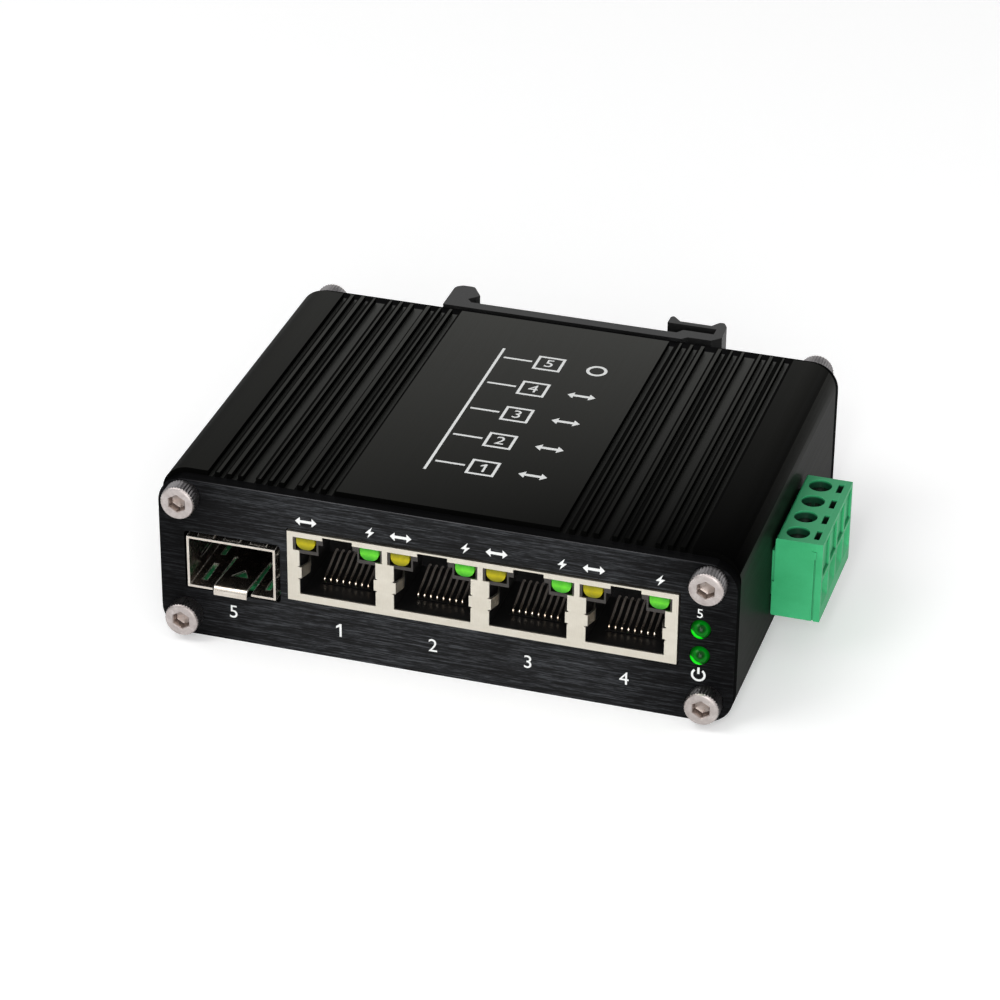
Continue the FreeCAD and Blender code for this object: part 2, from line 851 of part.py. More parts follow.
def terminal_header():
    """Board header: a box open to the side, with a back wall that holds the pins."""
    c = nose_clearance
    top = nose_top + c + header_wall
    body = block((header_left, header_right), around(terminal_y, header_length), (board_top, top))
    cavity = block((header_left + header_back, header_right), around(terminal_y, nose_length + 2 * c),
                   (nose_bottom - c, nose_top + c))
    wall = (header_left, header_left + header_back)
    holes = [block(wall, around(y, pin_size), around(pin_level, pin_size)) for y in pole_places()]
    return without(body, [cavity] + holes)


def header_pins():
    """Four angled pins: from the plug's sockets, through the back wall, down into the board."""
    heel = header_left - pin_bend
    tip = header_left + header_back + pin_reach
    low, high = around(pin_level, pin_size)
    tail = board_bottom - pin_tail
    side = [(heel, high), (heel, tail), (heel + pin_size, tail), (heel + pin_size, low),
            (tip, low), (tip, high)]
    return Part.makeCompound([prism(side, "xz", around(y, pin_size)) for y in pole_places()])


def snap_tabs():
    """Tabs of the plug's cover that hook into both ends of its body."""
    level = plug_top - snap_drop
    tabs = []
    for side in (-1, 1):
        end = terminal_y + side * plug_length / 2
        y = sorted((end + side * snap_proud, end - side * snap_thickness))
        tabs.append(block((cover_face - snap_length, cover_face), y, around(level, snap_height)))
    return tabs


def plug_body():
    """Plug moulding: the nose, the block with its screw wells and the clamp chambers."""
    relief = plug_bottom + plug_relief_level
    side = [(plug_inner, plug_bottom, plug_edge), (cover_face, plug_bottom), (cover_face, plug_top),
            (plug_inner + plug_relief, plug_top, plug_edge), (plug_inner + plug_relief, relief),
            (plug_inner, relief)]
    y = around(terminal_y, plug_length)
    body = prism(side, "xz", y)
    nose = block((nose_tip, screw_x), around(terminal_y, nose_length), (nose_bottom, nose_top))
    cuts = snap_tabs()
    groove_top = plug_top - snap_drop - snap_height / 2
    for side in (-1, 1):
        end = terminal_y + side * plug_length / 2
        cuts.append(block((cover_face - joint_groove, cover_face),
                          sorted((end, end - side * joint_groove)), (plug_bottom, groove_top)))
    for pole in pole_places():
        room = clamp_width + 2 * clamp_play
        start = clamp_inner - clamp_play
        cuts.append(block((start, cover_face), around(pole, room),
                          (clamp_bottom - clamp_play, chamber_top)))
        socket = around(pole, sleeve_size + 2 * clamp_play)
        cuts.append(block((nose_tip, start), socket, around(pin_level, sleeve_size + 2 * clamp_play)))
        cuts.append(rod("z", (screw_x, pole), (well_floor, plug_top), well_radius))
        cuts.append(rod("z", (screw_x, pole), (chamber_top, well_floor),
                        plug_screw_radius + plug_screw_gap))
        cuts.append(block((cover_face - test_slot_width, cover_face),
                          around(pole, test_slot_length), (plug_top - test_slot_depth, plug_top)))
    return without(joined(body, [nose]), cuts)


def funnel(pole):
    """Wire entry of the cover, flared towards the outside and most of all downwards."""
    low, high = wire_bottom, wire_bottom + wire_height
    wires = []
    for x, flare, drop, rise in ((cover_face, 0, 0, 0),
                                 (plug_outer, funnel_flare, funnel_drop, funnel_rise)):
        corners = rectangle(around(pole, wire_width + 2 * flare), (low - drop, high + rise),
                            funnel_corner)
        wires.append(outline(corners, lambda u, v: Vector(x, u, v)))
    return Part.makeLoft(wires, True, True)


def plug_cover():
    """Front frame of the plug: wire entries below, shallow pockets above, snap tabs behind."""
    cover = block((cover_face, plug_outer), around(terminal_y, plug_length), (plug_bottom, plug_top))
    pocket_z = (wire_bottom + wire_height + funnel_rise + pocket_edge, plug_top - pocket_edge)
    cuts = []
    for pole in pole_places():
        cuts.append(funnel(pole))
        cuts.append(block((plug_outer - pocket_depth, plug_outer),
                          around(pole, pole_pitch - pocket_rib), pocket_z))
    return joined(without(cover, cuts), snap_tabs())


def plug_screws():
    """Four slotted clamp screws, down in the plug's wells."""
    screws = []
    for pole, turn in zip(pole_places(), driver_slot_turns):
        head = rod("z", (screw_x, pole), (well_floor, well_floor + plug_head_height),
                   well_radius - plug_screw_gap)
        tip = tail_bottom + tail_sheet
        shank = rod("z", (screw_x, pole), (tip, well_floor), plug_screw_radius)
        top = well_floor + plug_head_height
        slot = block(around(screw_x, 2 * well_radius), around(pole, driver_slot_width),
                     (top - driver_slot_depth, top))
        slot.rotate(Vector(screw_x, pole, top), Vector(0, 0, 1), turn)
        screws.append(without(joined(head, [shank]), [slot]))
    return Part.makeCompound(screws)


def plug_clamps():
    """Four rising clamp cages, open along the wire's way and threaded for their screws."""
    clamps = []
    x = around(screw_x, clamp_length)
    for pole in pole_places():
        cage = block(x, around(pole, clamp_width), (clamp_bottom, clamp_top))
        window = block(x, around(pole, clamp_width - 2 * clamp_side),
                       (clamp_bottom + clamp_floor, clamp_top - clamp_roof))
        bore = rod("z", (screw_x, pole), (clamp_top - clamp_roof, clamp_top),
                   plug_screw_radius + screw_fit)
        clamps.append(without(cage, [window, bore]))
    return Part.makeCompound(clamps)


def plug_contacts():
    """Four sleeves that take the header's pins, each with a flat tail inside its clamp."""
    contacts = []
    start = nose_tip + plug_edge
    end = clamp_inner - 2 * clamp_play
    for pole in pole_places():
        sleeve = block((start, end), around(pole, sleeve_size), around(pin_level, sleeve_size))
        bore = block((start, end), around(pole, sleeve_bore), around(pin_level, sleeve_bore))
        tail = block((start, clamp_inner + clamp_length - tail_setback), around(pole, tail_width),
                     (tail_bottom, tail_bottom + tail_sheet))
        contacts.append(joined(without(sleeve, [bore]), [tail]))
    return Part.makeCompound(contacts)


def clip_outline():
    """Section of the rail clip: fixed hook on the left, sprung latch on the right."""
    edge = rail_width / 2
    tip = -edge + hook_overlap
    latch = edge - latch_overlap
    post = edge + arm_reach
    arm_top = arm_lift + arm_thickness
    bar_top = latch_bar_low + latch_bar
    inner_post = post - arm_post
    return [
        (-edge - clip_left, 0),
        (edge + 1.9, 0),
        (edge + 1.9 + arm_lift, arm_lift),
        (post - 1.5, arm_lift),
        (post, arm_lift + 1.5),
        (post - 0.2, bar_top + 0.3),
        (post - 0.9, latch_peak, 0.5),
        (inner_post - 0.1, latch_peak - 0.1, 0.4),
        (inner_post - 1.1, bar_top),
        (latch + 1.9, bar_top),
        (latch + 0.4, latch_peak, 0.3),
        (latch, latch_peak - 0.6, 0.2),
        (latch, latch_bar_low),
        (inner_post, latch_bar_low),
        (inner_post, arm_top),
        (edge + 1.4, arm_top, 0.4),
        (edge + 0.6, clip_base, 0.3),
        (-edge + 0.2, clip_base),
        (-edge - notch_depth, (clip_base + hook_lip) / 2),
        (tip - 0.5, hook_lip),
        (tip, hook_lip + 0.7),
        (tip - 1.8, hook_height, 0.8),
        (-edge - clip_left, hook_height, 1.6),
    ]


def din_clip():
    """Rail clip, one moulding of constant section, screwed to the rear plate."""
    corners = [(x, rear_face + y, *radius) for x, y, *radius in clip_outline()]
    clip = prism(corners, "xy", (clip_inset, housing_height - clip_inset))
    cuts = []
    for side in (-1, 1):
        x = side * clip_x
        hole = screw_radius + screw_hole_gap
        seat = rear_face + clip_base
        cuts.append(rod("y", (x, housing_height / 2), (rear_face, seat), hole))
        cuts.append(Part.makeCone(0, sink_radius, sink_radius,
                                  Vector(x, seat - sink_radius, housing_height / 2), Vector(0, 1, 0)))
    return without(clip, cuts)


def clip_screws():
    """Two countersunk screws through the clip into the rear plate."""
    screws = []
    seat = rear_face + clip_base
    for side in (-1, 1):
        centre = Vector(side * clip_x, seat, housing_height / 2)
        cone_height = sink_radius - screw_radius
        head = Part.makeCone(sink_radius, screw_radius, cone_height, centre, Vector(0, -1, 0))
        shank = Part.makeCylinder(screw_radius, clip_screw_length, centre, Vector(0, -1, 0))
        corner = clip_hex_width / math.sqrt(3)
        angles = [math.radians(60 * i) for i in range(6)]
        hexagon = [(centre.x + corner * math.cos(a), centre.z + corner * math.sin(a)) for a in angles]
        socket = prism(hexagon, "xz", (seat - clip_hex_depth, seat))
        screws.append(without(joined(head, [shank]), [socket]))
    return Part.makeCompound(screws)


def chip(x, y, length, width, height):
    """Flat moulded component on the board."""
    return block(around(x, length), around(y, width), (board_top, board_top + height))


def transformer(i):
    """Signal transformer behind the ports."""
    pitch = transformer_length + part_gap
    x = jack_left + transformer_length / 2 + i * pitch
    y = jack_back + part_gap + transformer_width / 2
    return chip(x, y, transformer_length, transformer_width, transformer_height)


def rear_row():
    """Centre line of the tall parts along the rear plate."""
    return rear_y - part_gap - inductor_size / 2


def capacitor(i):
    """Upright can with a bevelled top edge."""
    x = inner_half - ledge_reach - part_gap - capacitor_radius - i * (2 * capacitor_radius + part_gap)
    r = capacitor_radius
    top = board_top + capacitor_height
    edge = capacitor_edge
    side = [(0, board_top), (r, board_top), (r, top - edge), (r - edge, top), (0, top)]
    half = Part.Face(outline(side, lambda u, v: Vector(x + u, rear_row(), v)))
    return half.revolve(Vector(x, rear_row(), 0), Vector(0, 0, 1), 360)


def inductor_x():
    """Place of the power inductor beside the capacitors."""
    cans = 2 * (2 * capacitor_radius + part_gap)
    return inner_half - ledge_reach - part_gap - cans - inductor_size / 2


def power_inductor():
    """Shielded inductor: a square block with cut corners and the drum's end on top."""
    half = inductor_size / 2
    flat = half - inductor_corner
    x = inductor_x()
    y = rear_row()
    corners = [(x - flat, y - half), (x + flat, y - half), (x + half, y - flat),
               (x + half, y + flat), (x + flat, y + half), (x - flat, y + half),
               (x - half, y + flat), (x - half, y - flat)]
    top = board_top + inductor_height
    body = prism(corners, "xy", (board_top, top - inductor_drum))
    return joined(body, [rod("z", (x, y), (top - inductor_drum, top), flat)])


def crystal():
    """Crystal can with round ends."""
    x = cage_right + part_gap + crystal_width / 2
    corners = rectangle(around(x, crystal_width), around(rear_row(), crystal_length),
                        crystal_width / 2 - 0.05)
    return prism(corners, "xy", (board_top, board_top + crystal_height))


def switch_row():
    """Centre line of the chips between the transformers and the rear row."""
    return rear_row() - inductor_size / 2 - part_gap - switch_chip_size / 2


def switch_chip():
    """Switch processor, behind the transformers."""
    x = cage_right + 2 * part_gap + crystal_width + switch_chip_size / 2
    return chip(x, switch_row(), switch_chip_size, switch_chip_size, switch_chip_height)


def flash_memory():
    """Small memory chip beside the switch processor."""
    x = cage_right + 3 * part_gap + crystal_width + switch_chip_size + memory_length / 2
    return chip(x, rear_row(), memory_length, memory_width, memory_height)


def power_controller():
    """Power chip between the switch processor and the terminal."""
    x = header_left - pin_bend - part_gap - controller_size / 2
    return chip(x, terminal_y, controller_size, controller_size, controller_height)


def main():
    os.makedirs("parts", exist_ok=True)
    parts = {
        "upper_shell": upper_shell(),
        "lower_shell": lower_shell(),
        "front_panel": front_panel(),
        "rear_panel": rear_panel(),
        "front_screws": plate_screws(front_face, 1),
        "rear_screws": plate_screws(rear_face, -1),
        "main_board": main_board(),
        "jack_shield": jack_shield(),
        "jack_housing": jack_housing(),
        "module_cage": module_cage(),
        "module_connector": module_connector(),
        "module_contacts": module_contacts(),
        "light_holder": light_holder(),
        "power_light": status_light(1),
        "fibre_light": status_light(0),
        "terminal_header": terminal_header(),
        "header_pins": header_pins(),
        "plug_body": plug_body(),
        "plug_cover": plug_cover(),
        "plug_screws": plug_screws(),
        "plug_clamps": plug_clamps(),
        "plug_contacts": plug_contacts(),
        "din_clip": din_clip(),
        "clip_screws": clip_screws(),
        "switch_chip": switch_chip(),
        "flash_memory": flash_memory(),
        "power_controller": power_controller(),
        "power_inductor": power_inductor(),
        "crystal": crystal(),
    }
    for i, x in enumerate(port_centres(), 1):
        parts[f"port_contacts_{i}"] = jack_contacts(x)
        parts[f"link_light_{i}"] = port_light(x, -1)
        parts[f"feed_light_{i}"] = port_light(x, 1)
    for i in range(2):
        parts[f"transformer_{i + 1}"] = transformer(i)
        parts[f"bulk_capacitor_{i + 1}"] = capacitor(i)
    for name, shape in parts.items():
        shape.exportStep(f"parts/{name}.step")
        print(f"{name}: {len(shape.Solids)} solids, {shape.Volume:.1f} mm3, valid {shape.isValid()}")


main()
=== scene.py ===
import math

import bpy
import numpy as np
from mathutils import Matrix, Vector


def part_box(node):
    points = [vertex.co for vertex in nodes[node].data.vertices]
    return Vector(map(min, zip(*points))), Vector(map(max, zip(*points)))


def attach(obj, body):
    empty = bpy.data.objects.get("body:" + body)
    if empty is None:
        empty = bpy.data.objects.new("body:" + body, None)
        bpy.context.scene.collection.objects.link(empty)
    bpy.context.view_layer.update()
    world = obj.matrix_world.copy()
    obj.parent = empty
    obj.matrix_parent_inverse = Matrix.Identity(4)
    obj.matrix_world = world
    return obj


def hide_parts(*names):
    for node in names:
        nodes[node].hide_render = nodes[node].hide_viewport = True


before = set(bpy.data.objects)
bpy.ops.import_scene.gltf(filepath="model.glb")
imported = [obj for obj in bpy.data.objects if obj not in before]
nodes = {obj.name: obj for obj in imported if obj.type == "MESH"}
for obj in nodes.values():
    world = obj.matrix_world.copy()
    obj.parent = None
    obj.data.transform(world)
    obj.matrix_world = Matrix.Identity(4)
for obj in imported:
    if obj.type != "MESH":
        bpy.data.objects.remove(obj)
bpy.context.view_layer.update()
mm = 0.001
ports = range(1, 5)
print("switch: frame loaded,", len(nodes), "nodes")


class Value:
    # wraps a socket, so that sums on it add Math nodes
    def __init__(self, wiring, socket):
        self.wiring = wiring
        self.socket = socket

    def math(self, operation, first, second=0.0):
        return self.wiring.node("ShaderNodeMath", {"operation": operation}, {0: first, 1: second})

    def __add__(self, other):
        return self.math("ADD", self, other)

    def __radd__(self, other):
        return self.math("ADD", other, self)

    def __sub__(self, other):
        return self.math("SUBTRACT", self, other)

    def __rsub__(self, other):
        return self.math("SUBTRACT", other, self)

    def __mul__(self, other):
        return self.math("MULTIPLY", self, other)

    def __rmul__(self, other):
        return self.math("MULTIPLY", other, self)

    def __mod__(self, other):
        return self.math("FLOORED_MODULO", self, other)

    def __truediv__(self, other):
        return self.math("DIVIDE", self, other)

    def __pow__(self, other):
        return self.math("POWER", self, other)

    def __gt__(self, other):
        return self.math("GREATER_THAN", self, other)

    def __lt__(self, other):
        return self.math("LESS_THAN", self, other)

    def __abs__(self):
        return self.math("ABSOLUTE", self)


class Wiring:
    # a node tree that starts empty, and the ways to add to it
    def __init__(self, tree):
        self.tree = tree
        self.tree.nodes.clear()

    def put(self, socket, value):
        if isinstance(value, Value):
            self.tree.links.new(value.socket, socket)
        else:
            socket.default_value = value

    def node(self, kind, settings=None, sockets=None, out=0):
        made = self.tree.nodes.new(kind)
        for name, value in (settings or {}).items():
            if name == "stops":
                fillRamp(made.color_ramp, value)
            elif name == "steps":
                made.color_ramp.interpolation = "CONSTANT"
            else:
                setattr(made, name, value)
        for key, value in (sockets or {}).items():
            self.put(made.inputs[key], value)
        return Value(self, made.outputs[out]) if made.outputs else made

    def spread(self, amount, low, high, fromLow=0.3, fromHigh=0.7):
        # the amount carried from one range to another, and held at its ends
        return self.node("ShaderNodeMapRange", {}, {
            0: amount, 1: fromLow, 2: fromHigh, 3: low, 4: high})

    def greater(self, first, second):
        return self.node("ShaderNodeMath", {"operation": "MAXIMUM"}, {0: first, 1: second})


class Finish(Wiring):
    # one material: a Principled surface and the nodes that vary it
    def __init__(self, name, **surface):
        self.material = bpy.data.materials.new(name)
        self.material.use_nodes = True
        super().__init__(self.material.node_tree)
        self.out = self.tree.nodes.new("ShaderNodeOutputMaterial")
        self.surface = self.tree.nodes.new("ShaderNodeBsdfPrincipled")
        self.whole = Value(self, self.surface.outputs[0])
        self.tree.links.new(self.whole.socket, self.out.inputs[0])
        for key, value in surface.items():
            self.feed(key.replace("_", " "), value)

    def feed(self, name, value):
        self.put(self.surface.inputs[name], rgba(value) if isinstance(value, tuple) else value)
        if name == "Base Color":
            self.colour = value

    def place(self, scale, shift=(0, 0, 0)):
        # object coordinates in millimetres, stretched by scale
        spot = self.node("ShaderNodeTexCoord", out="Object")
        return self.node("ShaderNodeMapping", {}, {
            "Vector": spot, "Location": shift, "Scale": tuple(s / mm for s in scale)})

    def axis(self, which):
        # one object coordinate in millimetres
        spot = self.node("ShaderNodeTexCoord", out="Object")
        return self.node("ShaderNodeSeparateXYZ", {}, {0: spot}, out=which) / mm

    def noise(self, scale, detail=3.0, rough=0.5, shift=(0, 0, 0)):
        return self.node("ShaderNodeTexNoise", {}, {
            "Vector": self.place(scale, shift), "Scale": 1.0, "Detail": detail, "Roughness": rough})

    def ramp(self, amount, *stops):
        return self.node("ShaderNodeValToRGB", {"stops": stops}, {0: amount})

    def mixed(self, mask, first, second):
        # colour blend: the first where the mask is 0, the second where it is 1
        return self.node("ShaderNodeMix", {"data_type": "RGBA"}, {
            0: mask, 6: first if isinstance(first, Value) else rgba(first),
            7: second if isinstance(second, Value) else rgba(second)}, out=2)

    def dulled(self, mask, colour):
        # where the mask is 1 the surface is a dull, unpolished one of this colour; with the near-black
        # colours it is given, this paints shade
        paintedShade = self.node("ShaderNodeBsdfDiffuse", {}, {"Color": rgba(colour)})
        self.put(self.out.inputs[0], self.node("ShaderNodeMixShader", {}, {
            0: mask, 1: self.whole, 2: paintedShade}))

    def facing(self, which):
        # how far the surface faces along one axis, from -1 to 1
        normal = self.node("ShaderNodeNewGeometry", out="Normal")
        return self.node("ShaderNodeSeparateXYZ", {}, {0: normal}, out=which)

    def crevice(self, reach):
        # 1 in a tight inner corner, 0 in the open: the mask for painted shade in crevices
        return 1.0 - self.node("ShaderNodeAmbientOcclusion", {"samples": 6, "only_local": True},
                               {"Distance": reach * mm}, out="AO")

    def edge(self, radius):
        # 1 on an outer or inner edge narrower than the radius, 0 on the flats
        rounded = self.node("ShaderNodeBevel", {"samples": 6}, {"Radius": radius * mm})
        normal = self.node("ShaderNodeNewGeometry", out="Normal")
        same = self.node("ShaderNodeVectorMath", {"operation": "DOT_PRODUCT"},
                         {0: rounded, 1: normal}, out="Value")
        return self.spread(same, 1.0, 0.0, 0.86, 0.985)

    def bump(self, height, strength, distance):
        return self.node("ShaderNodeBump", {}, {
            "Height": height, "Strength": strength, "Distance": distance * mm})


def rgba(colour):
    return (*colour, 1.0) if len(colour) == 3 else colour


def fillRamp(ramp, stops):
    while len(ramp.elements) < len(stops):
        ramp.elements.new(1.0)
    for element, (spot, colour) in zip(ramp.elements, stops):
        element.position = spot
        element.color = rgba(colour)


def centreX(node):
    low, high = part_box(node)
    return (low.x + high.x) / 2 / mm


def dress(finish, *names):
    for name in names:
        for holder in nodes[name].material_slots:
            holder.material = finish.material


# the floor tone is a painted lit strip on the groove floors; the near-black tone and the shares after
# it paint shade and shadow
extrusion = {"dark": (0.0030, 0.0032, 0.0024), "light": (0.0085, 0.0088, 0.0068),
             "floorTone": (0.012, 0.0125, 0.0115), "shadeTone": (0.0012, 0.0012, 0.0012),
             "specular": 0.25, "tint": (1.0, 1.0, 0.88), "roughLow": 0.34, "roughHigh": 0.48,
             "ribDepth": 0.95, "ribTop": 0.5, "shadowBefore": 0.62, "shadowOver": 0.16, "paintedShadeStrength": 0.94,
             "frontShade": 0.82, "frontMiddle": 0.88, "frontSlope": 0.0075,
             "shoulderShade": 0.42, "rightShoulder": 0.2, "sideShade": 0.52,
             "footShade": 0.75, "footLevels": (2.5, 5.0)}


def ribEdges():
    # X in millimetres: the left edge of each strip that stands up on the roof, and the inner
    # edge of the right shoulder
    mesh = nodes["upper_shell"].data
    spots = np.empty(len(mesh.vertices) * 3)
    mesh.vertices.foreach_get("co", spots)
    spots = spots.reshape(-1, 3) / mm
    edges = np.unique(np.round(spots[spots[:, 2] > spots[:, 2].max() - 0.01, 0], 2))
    return edges[2::2], edges[-2]


def sootBands(finish, across, edges):
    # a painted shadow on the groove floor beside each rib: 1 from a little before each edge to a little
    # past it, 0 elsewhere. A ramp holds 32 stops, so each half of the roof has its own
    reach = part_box("upper_shell")[1].x / mm
    bands = None
    for side in (edges[edges < 0], edges[edges > 0]):
        stops = [(0.0, (0.0, 0.0, 0.0))]
        for edge in side:
            stops += [((edge - extrusion["shadowBefore"] + reach) / reach / 2, (1.0, 1.0, 1.0)),
                      ((edge + extrusion["shadowOver"] + reach) / reach / 2, (0.0, 0.0, 0.0))]
        ramp = finish.node("ShaderNodeValToRGB", {"stops": stops, "steps": True},
                           {0: (across + reach) / (2 * reach)})
        bands = ramp if bands is None else finish.greater(bands, ramp)
    return bands


def anodisedExtrusion():
    # black anodising over die lines that run along the extrusion, with a fine sandy grain. The groove
    # floors are painted lighter, a painted lit strip. The ribs' steep sides and the sawn ends get
    # painted shade, dark and dull, with a painted shadow at the foot of each rib on one side, and
    # painted shade grows from the back to the front and over the shoulders, the sides and the foot
    look = extrusion
    finish = Finish("anodisedExtrusion", Specular_IOR_Level=look["specular"],
                    Specular_Tint=look["tint"])
    dieLines = finish.noise((5.0, 0.03, 5.0), 4.0, 0.6)
    cloud = finish.noise((0.05, 0.03, 0.08), 3.0)
    grain = finish.noise((9.0, 9.0, 9.0), 2.0, 0.7)
    tone = dieLines * 0.5 + cloud * 0.3 + grain * 0.2
    level = finish.axis("Z")
    across = finish.axis("X")
    upwards = finish.facing("Z")
    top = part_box("upper_shell")[1].z / mm
    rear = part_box("upper_shell")[1].y / mm
    edges, shoulder = ribEdges()
    roof = level > top - look["ribDepth"]
    floor = (level < top - look["ribTop"]) * roof * (upwards > 0.5)
    colour = finish.ramp(tone, (0.35, look["dark"]), (0.68, look["light"]))
    # the groove floors get a lighter tone: a painted lit strip
    finish.feed("Base Color", finish.mixed(floor, colour, look["floorTone"]))
    finish.feed("Roughness", finish.spread(dieLines * 0.6 + grain * 0.4,
                                           look["roughLow"], look["roughHigh"]))
    finish.feed("Normal", finish.bump(dieLines * 0.6 + grain, 0.3, 0.02))
    # painted shade: darker towards the front, over the shoulders, on the sides and near the foot
    front = finish.spread(finish.axis("Y"), look["frontShade"], 0.0, -rear, rear)
    front = front * (across * look["frontSlope"] + look["frontMiddle"]) * (upwards > 0.3)
    onShoulder = (abs(across) > shoulder) * (upwards > 0.7)
    onShoulder = onShoulder * ((across > 0.0) * look["rightShoulder"] + look["shoulderShade"])
    side = abs(finish.facing("X")) * look["sideShade"]
    foot = finish.spread(level, look["footShade"], 0.0, *look["footLevels"])
    unshaded = (1.0 - front) * (1.0 - onShoulder) * (1.0 - side) * (1.0 - foot)
    # painted shade on the ribs' sides and the sawn ends, and a painted shadow beside each rib
    ribSide = roof * (abs(upwards) < 0.5)
    sawnEnd = abs(finish.facing("Y")) > 0.7
    paintedShadow = sootBands(finish, across, edges) * roof
    paintedShade = finish.greater(finish.greater(ribSide, sawnEnd), paintedShadow) * look["paintedShadeStrength"]
    finish.dulled(finish.greater(paintedShade, 1.0 - unshaded), look["shadeTone"])
    return finish


# the rim is a painted highlight on the top edge; the cut edge tone and the cut and end shares paint
# shade
plateBrushing = {"dark": (0.0008, 0.0008, 0.0009), "middle": (0.0055, 0.0060, 0.0072),
                 "light": (0.060, 0.064, 0.070), "cutShadeTone": (0.0015, 0.0015, 0.0016),
                 "rim": (0.085, 0.085, 0.09), "rimWidth": 0.16, "specular": 0.18,
                 "roughLow": 0.30, "roughHigh": 0.55, "cutShade": 0.95, "endShade": 0.72,
                 "endReach": (22.0, 3.0)}


def brushedPlate(node):
    # black anodised sheet brushed along its length: long lines broken by short bright strokes;
    # its cut edges get painted shade, dark and dull, with a painted highlight, a fine bright line,
    # where the top edge meets the face, and painted shade darkens it towards both ends
    look = plateBrushing
    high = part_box(node)[1] / mm
    finish = Finish(node + "Brushed", Specular_IOR_Level=look["specular"])
    longLines = finish.noise((0.07, 4.2, 4.2), 5.0, 0.72)
    shortLines = finish.noise((0.42, 6.2, 6.2), 3.0, 0.7, (3.1, 0.7, 5.3))
    cloud = finish.noise((0.04, 0.2, 0.12), 2.0)
    lines = longLines * 0.46 + shortLines * 0.46 + cloud * 0.08
    colour = finish.ramp(lines, (0.42, look["dark"]), (0.50, look["middle"]), (0.64, look["light"]))
    # a painted highlight: a fine bright line along the top edge
    edgeHighlight = (finish.axis("Z") > high.z - look["rimWidth"]) * finish.spread(longLines, 0.2, 1.0)
    finish.feed("Base Color", finish.mixed(edgeHighlight, colour, look["rim"]))
    finish.feed("Roughness", finish.spread(lines, look["roughHigh"], look["roughLow"]))
    finish.feed("Normal", finish.bump(lines, 0.6, 0.03))
    # painted shade towards both ends and on the cut edges
    ends = finish.spread(abs(finish.axis("X")), 0.0, look["endShade"],
                         *(high.x - reach for reach in look["endReach"]))
    cut = (abs(finish.facing("Y")) < 0.5) * look["cutShade"]
    finish.dulled(finish.greater(cut, ends), look["cutShadeTone"])
    return finish


# the socket and knurl tones are painted shade
latheMap = {"rings": 420.0, "socketEnd": (0.20, 0.25), "knurlStart": (0.53, 0.56), "knurlEnd": 0.78,
            "socketShade": (0.22, 0.17, 0.14), "knurlShade": (0.17, 0.17, 0.18)}


def turnedStainless():
    # stainless steel with turning rings read from the lathe map; painted shade darkens the socket and
    # the knurl
    finish = Finish("turnedStainless", Metallic=1.0)
    spot = finish.node("ShaderNodeTexCoord", out="UV")
    along = finish.node("ShaderNodeSeparateXYZ", {}, {0: spot}, out="Y")
    rings = finish.node("ShaderNodeMath", {"operation": "SINE"}, {0: along * latheMap["rings"]})
    stain = finish.noise((0.9, 0.9, 0.9), 4.0, 0.6)
    bright = finish.ramp(stain, (0.3, (0.52, 0.46, 0.44)),
                         (0.6, (0.67, 0.61, 0.59)), (0.8, (0.78, 0.73, 0.71)))
    inSocket = finish.spread(along, 1.0, 0.0, *latheMap["socketEnd"])
    inKnurl = finish.spread(along, 0.0, 1.0, *latheMap["knurlStart"]) * (along < latheMap["knurlEnd"])
    # painted shade in the socket and over the knurl
    colour = finish.mixed(inSocket * 0.6, bright, latheMap["socketShade"])
    finish.feed("Base Color", finish.mixed(inKnurl * 0.8, colour, latheMap["knurlShade"]))
    finish.feed("Roughness", finish.spread(stain, 0.40, 0.24) + rings * 0.02)
    finish.feed("Normal", finish.bump(rings * 0.5 + stain, 0.2, 0.02))
    return finish


def tinnedSheet(name, light, dark, rough):
    # tin plated sheet with the soft cloud of its rolling
    finish = Finish(name, Metallic=1.0)
    cloud = finish.noise((0.25, 0.25, 0.5), 4.0, 0.55)
    grain = finish.noise((6.0, 6.0, 0.8), 3.0, 0.6)
    finish.feed("Base Color", finish.ramp(cloud * 0.7 + grain * 0.3, (0.3, dark), (0.65, light)))
    finish.feed("Roughness", finish.spread(cloud * 0.5 + grain * 0.5, rough + 0.09, rough - 0.05))
    finish.feed("Normal", finish.bump(grain, 0.15, 0.01))
    return finish


# the edge colour is a painted highlight, the deep colour painted shade
cageSheet = {"light": (0.94, 0.87, 0.78), "dark": (0.66, 0.58, 0.50), "rough": 0.24,
             "edgeHighlight": (0.88, 0.85, 0.78), "highlightWidth": 0.14, "skin": 0.12,
             "deep": (0.20, 0.17, 0.15), "deepShare": 0.8, "deepReach": (0.8, 6.0)}


def foldedCage():
    # the module cage's sheet: a painted highlight, bright and less metallic, along its inner edges, and
    # painted shade further in from its mouth
    look = cageSheet
    finish = tinnedSheet("cageTin", look["light"], look["dark"], look["rough"])
    low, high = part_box("module_cage")
    inside = abs(finish.axis("X") - centreX("module_cage")) < (high.x - low.x) / 2 / mm - look["skin"]
    inside = inside * (finish.axis("Z") < high.z / mm - look["skin"])
    # a painted highlight on the inner edges
    edge = finish.edge(look["highlightWidth"]) * inside
    # painted shade, darker further in from the mouth
    deep = finish.spread(finish.axis("Y"), 0.0, look["deepShare"],
                         *(low.y / mm + reach for reach in look["deepReach"]))
    colour = finish.mixed(deep, finish.colour, look["deep"])
    finish.feed("Base Color", finish.mixed(edge * (1.0 - deep * 0.4), colour, look["edgeHighlight"]))
    finish.feed("Metallic", 1.0 - edge * 0.7)
    return finish


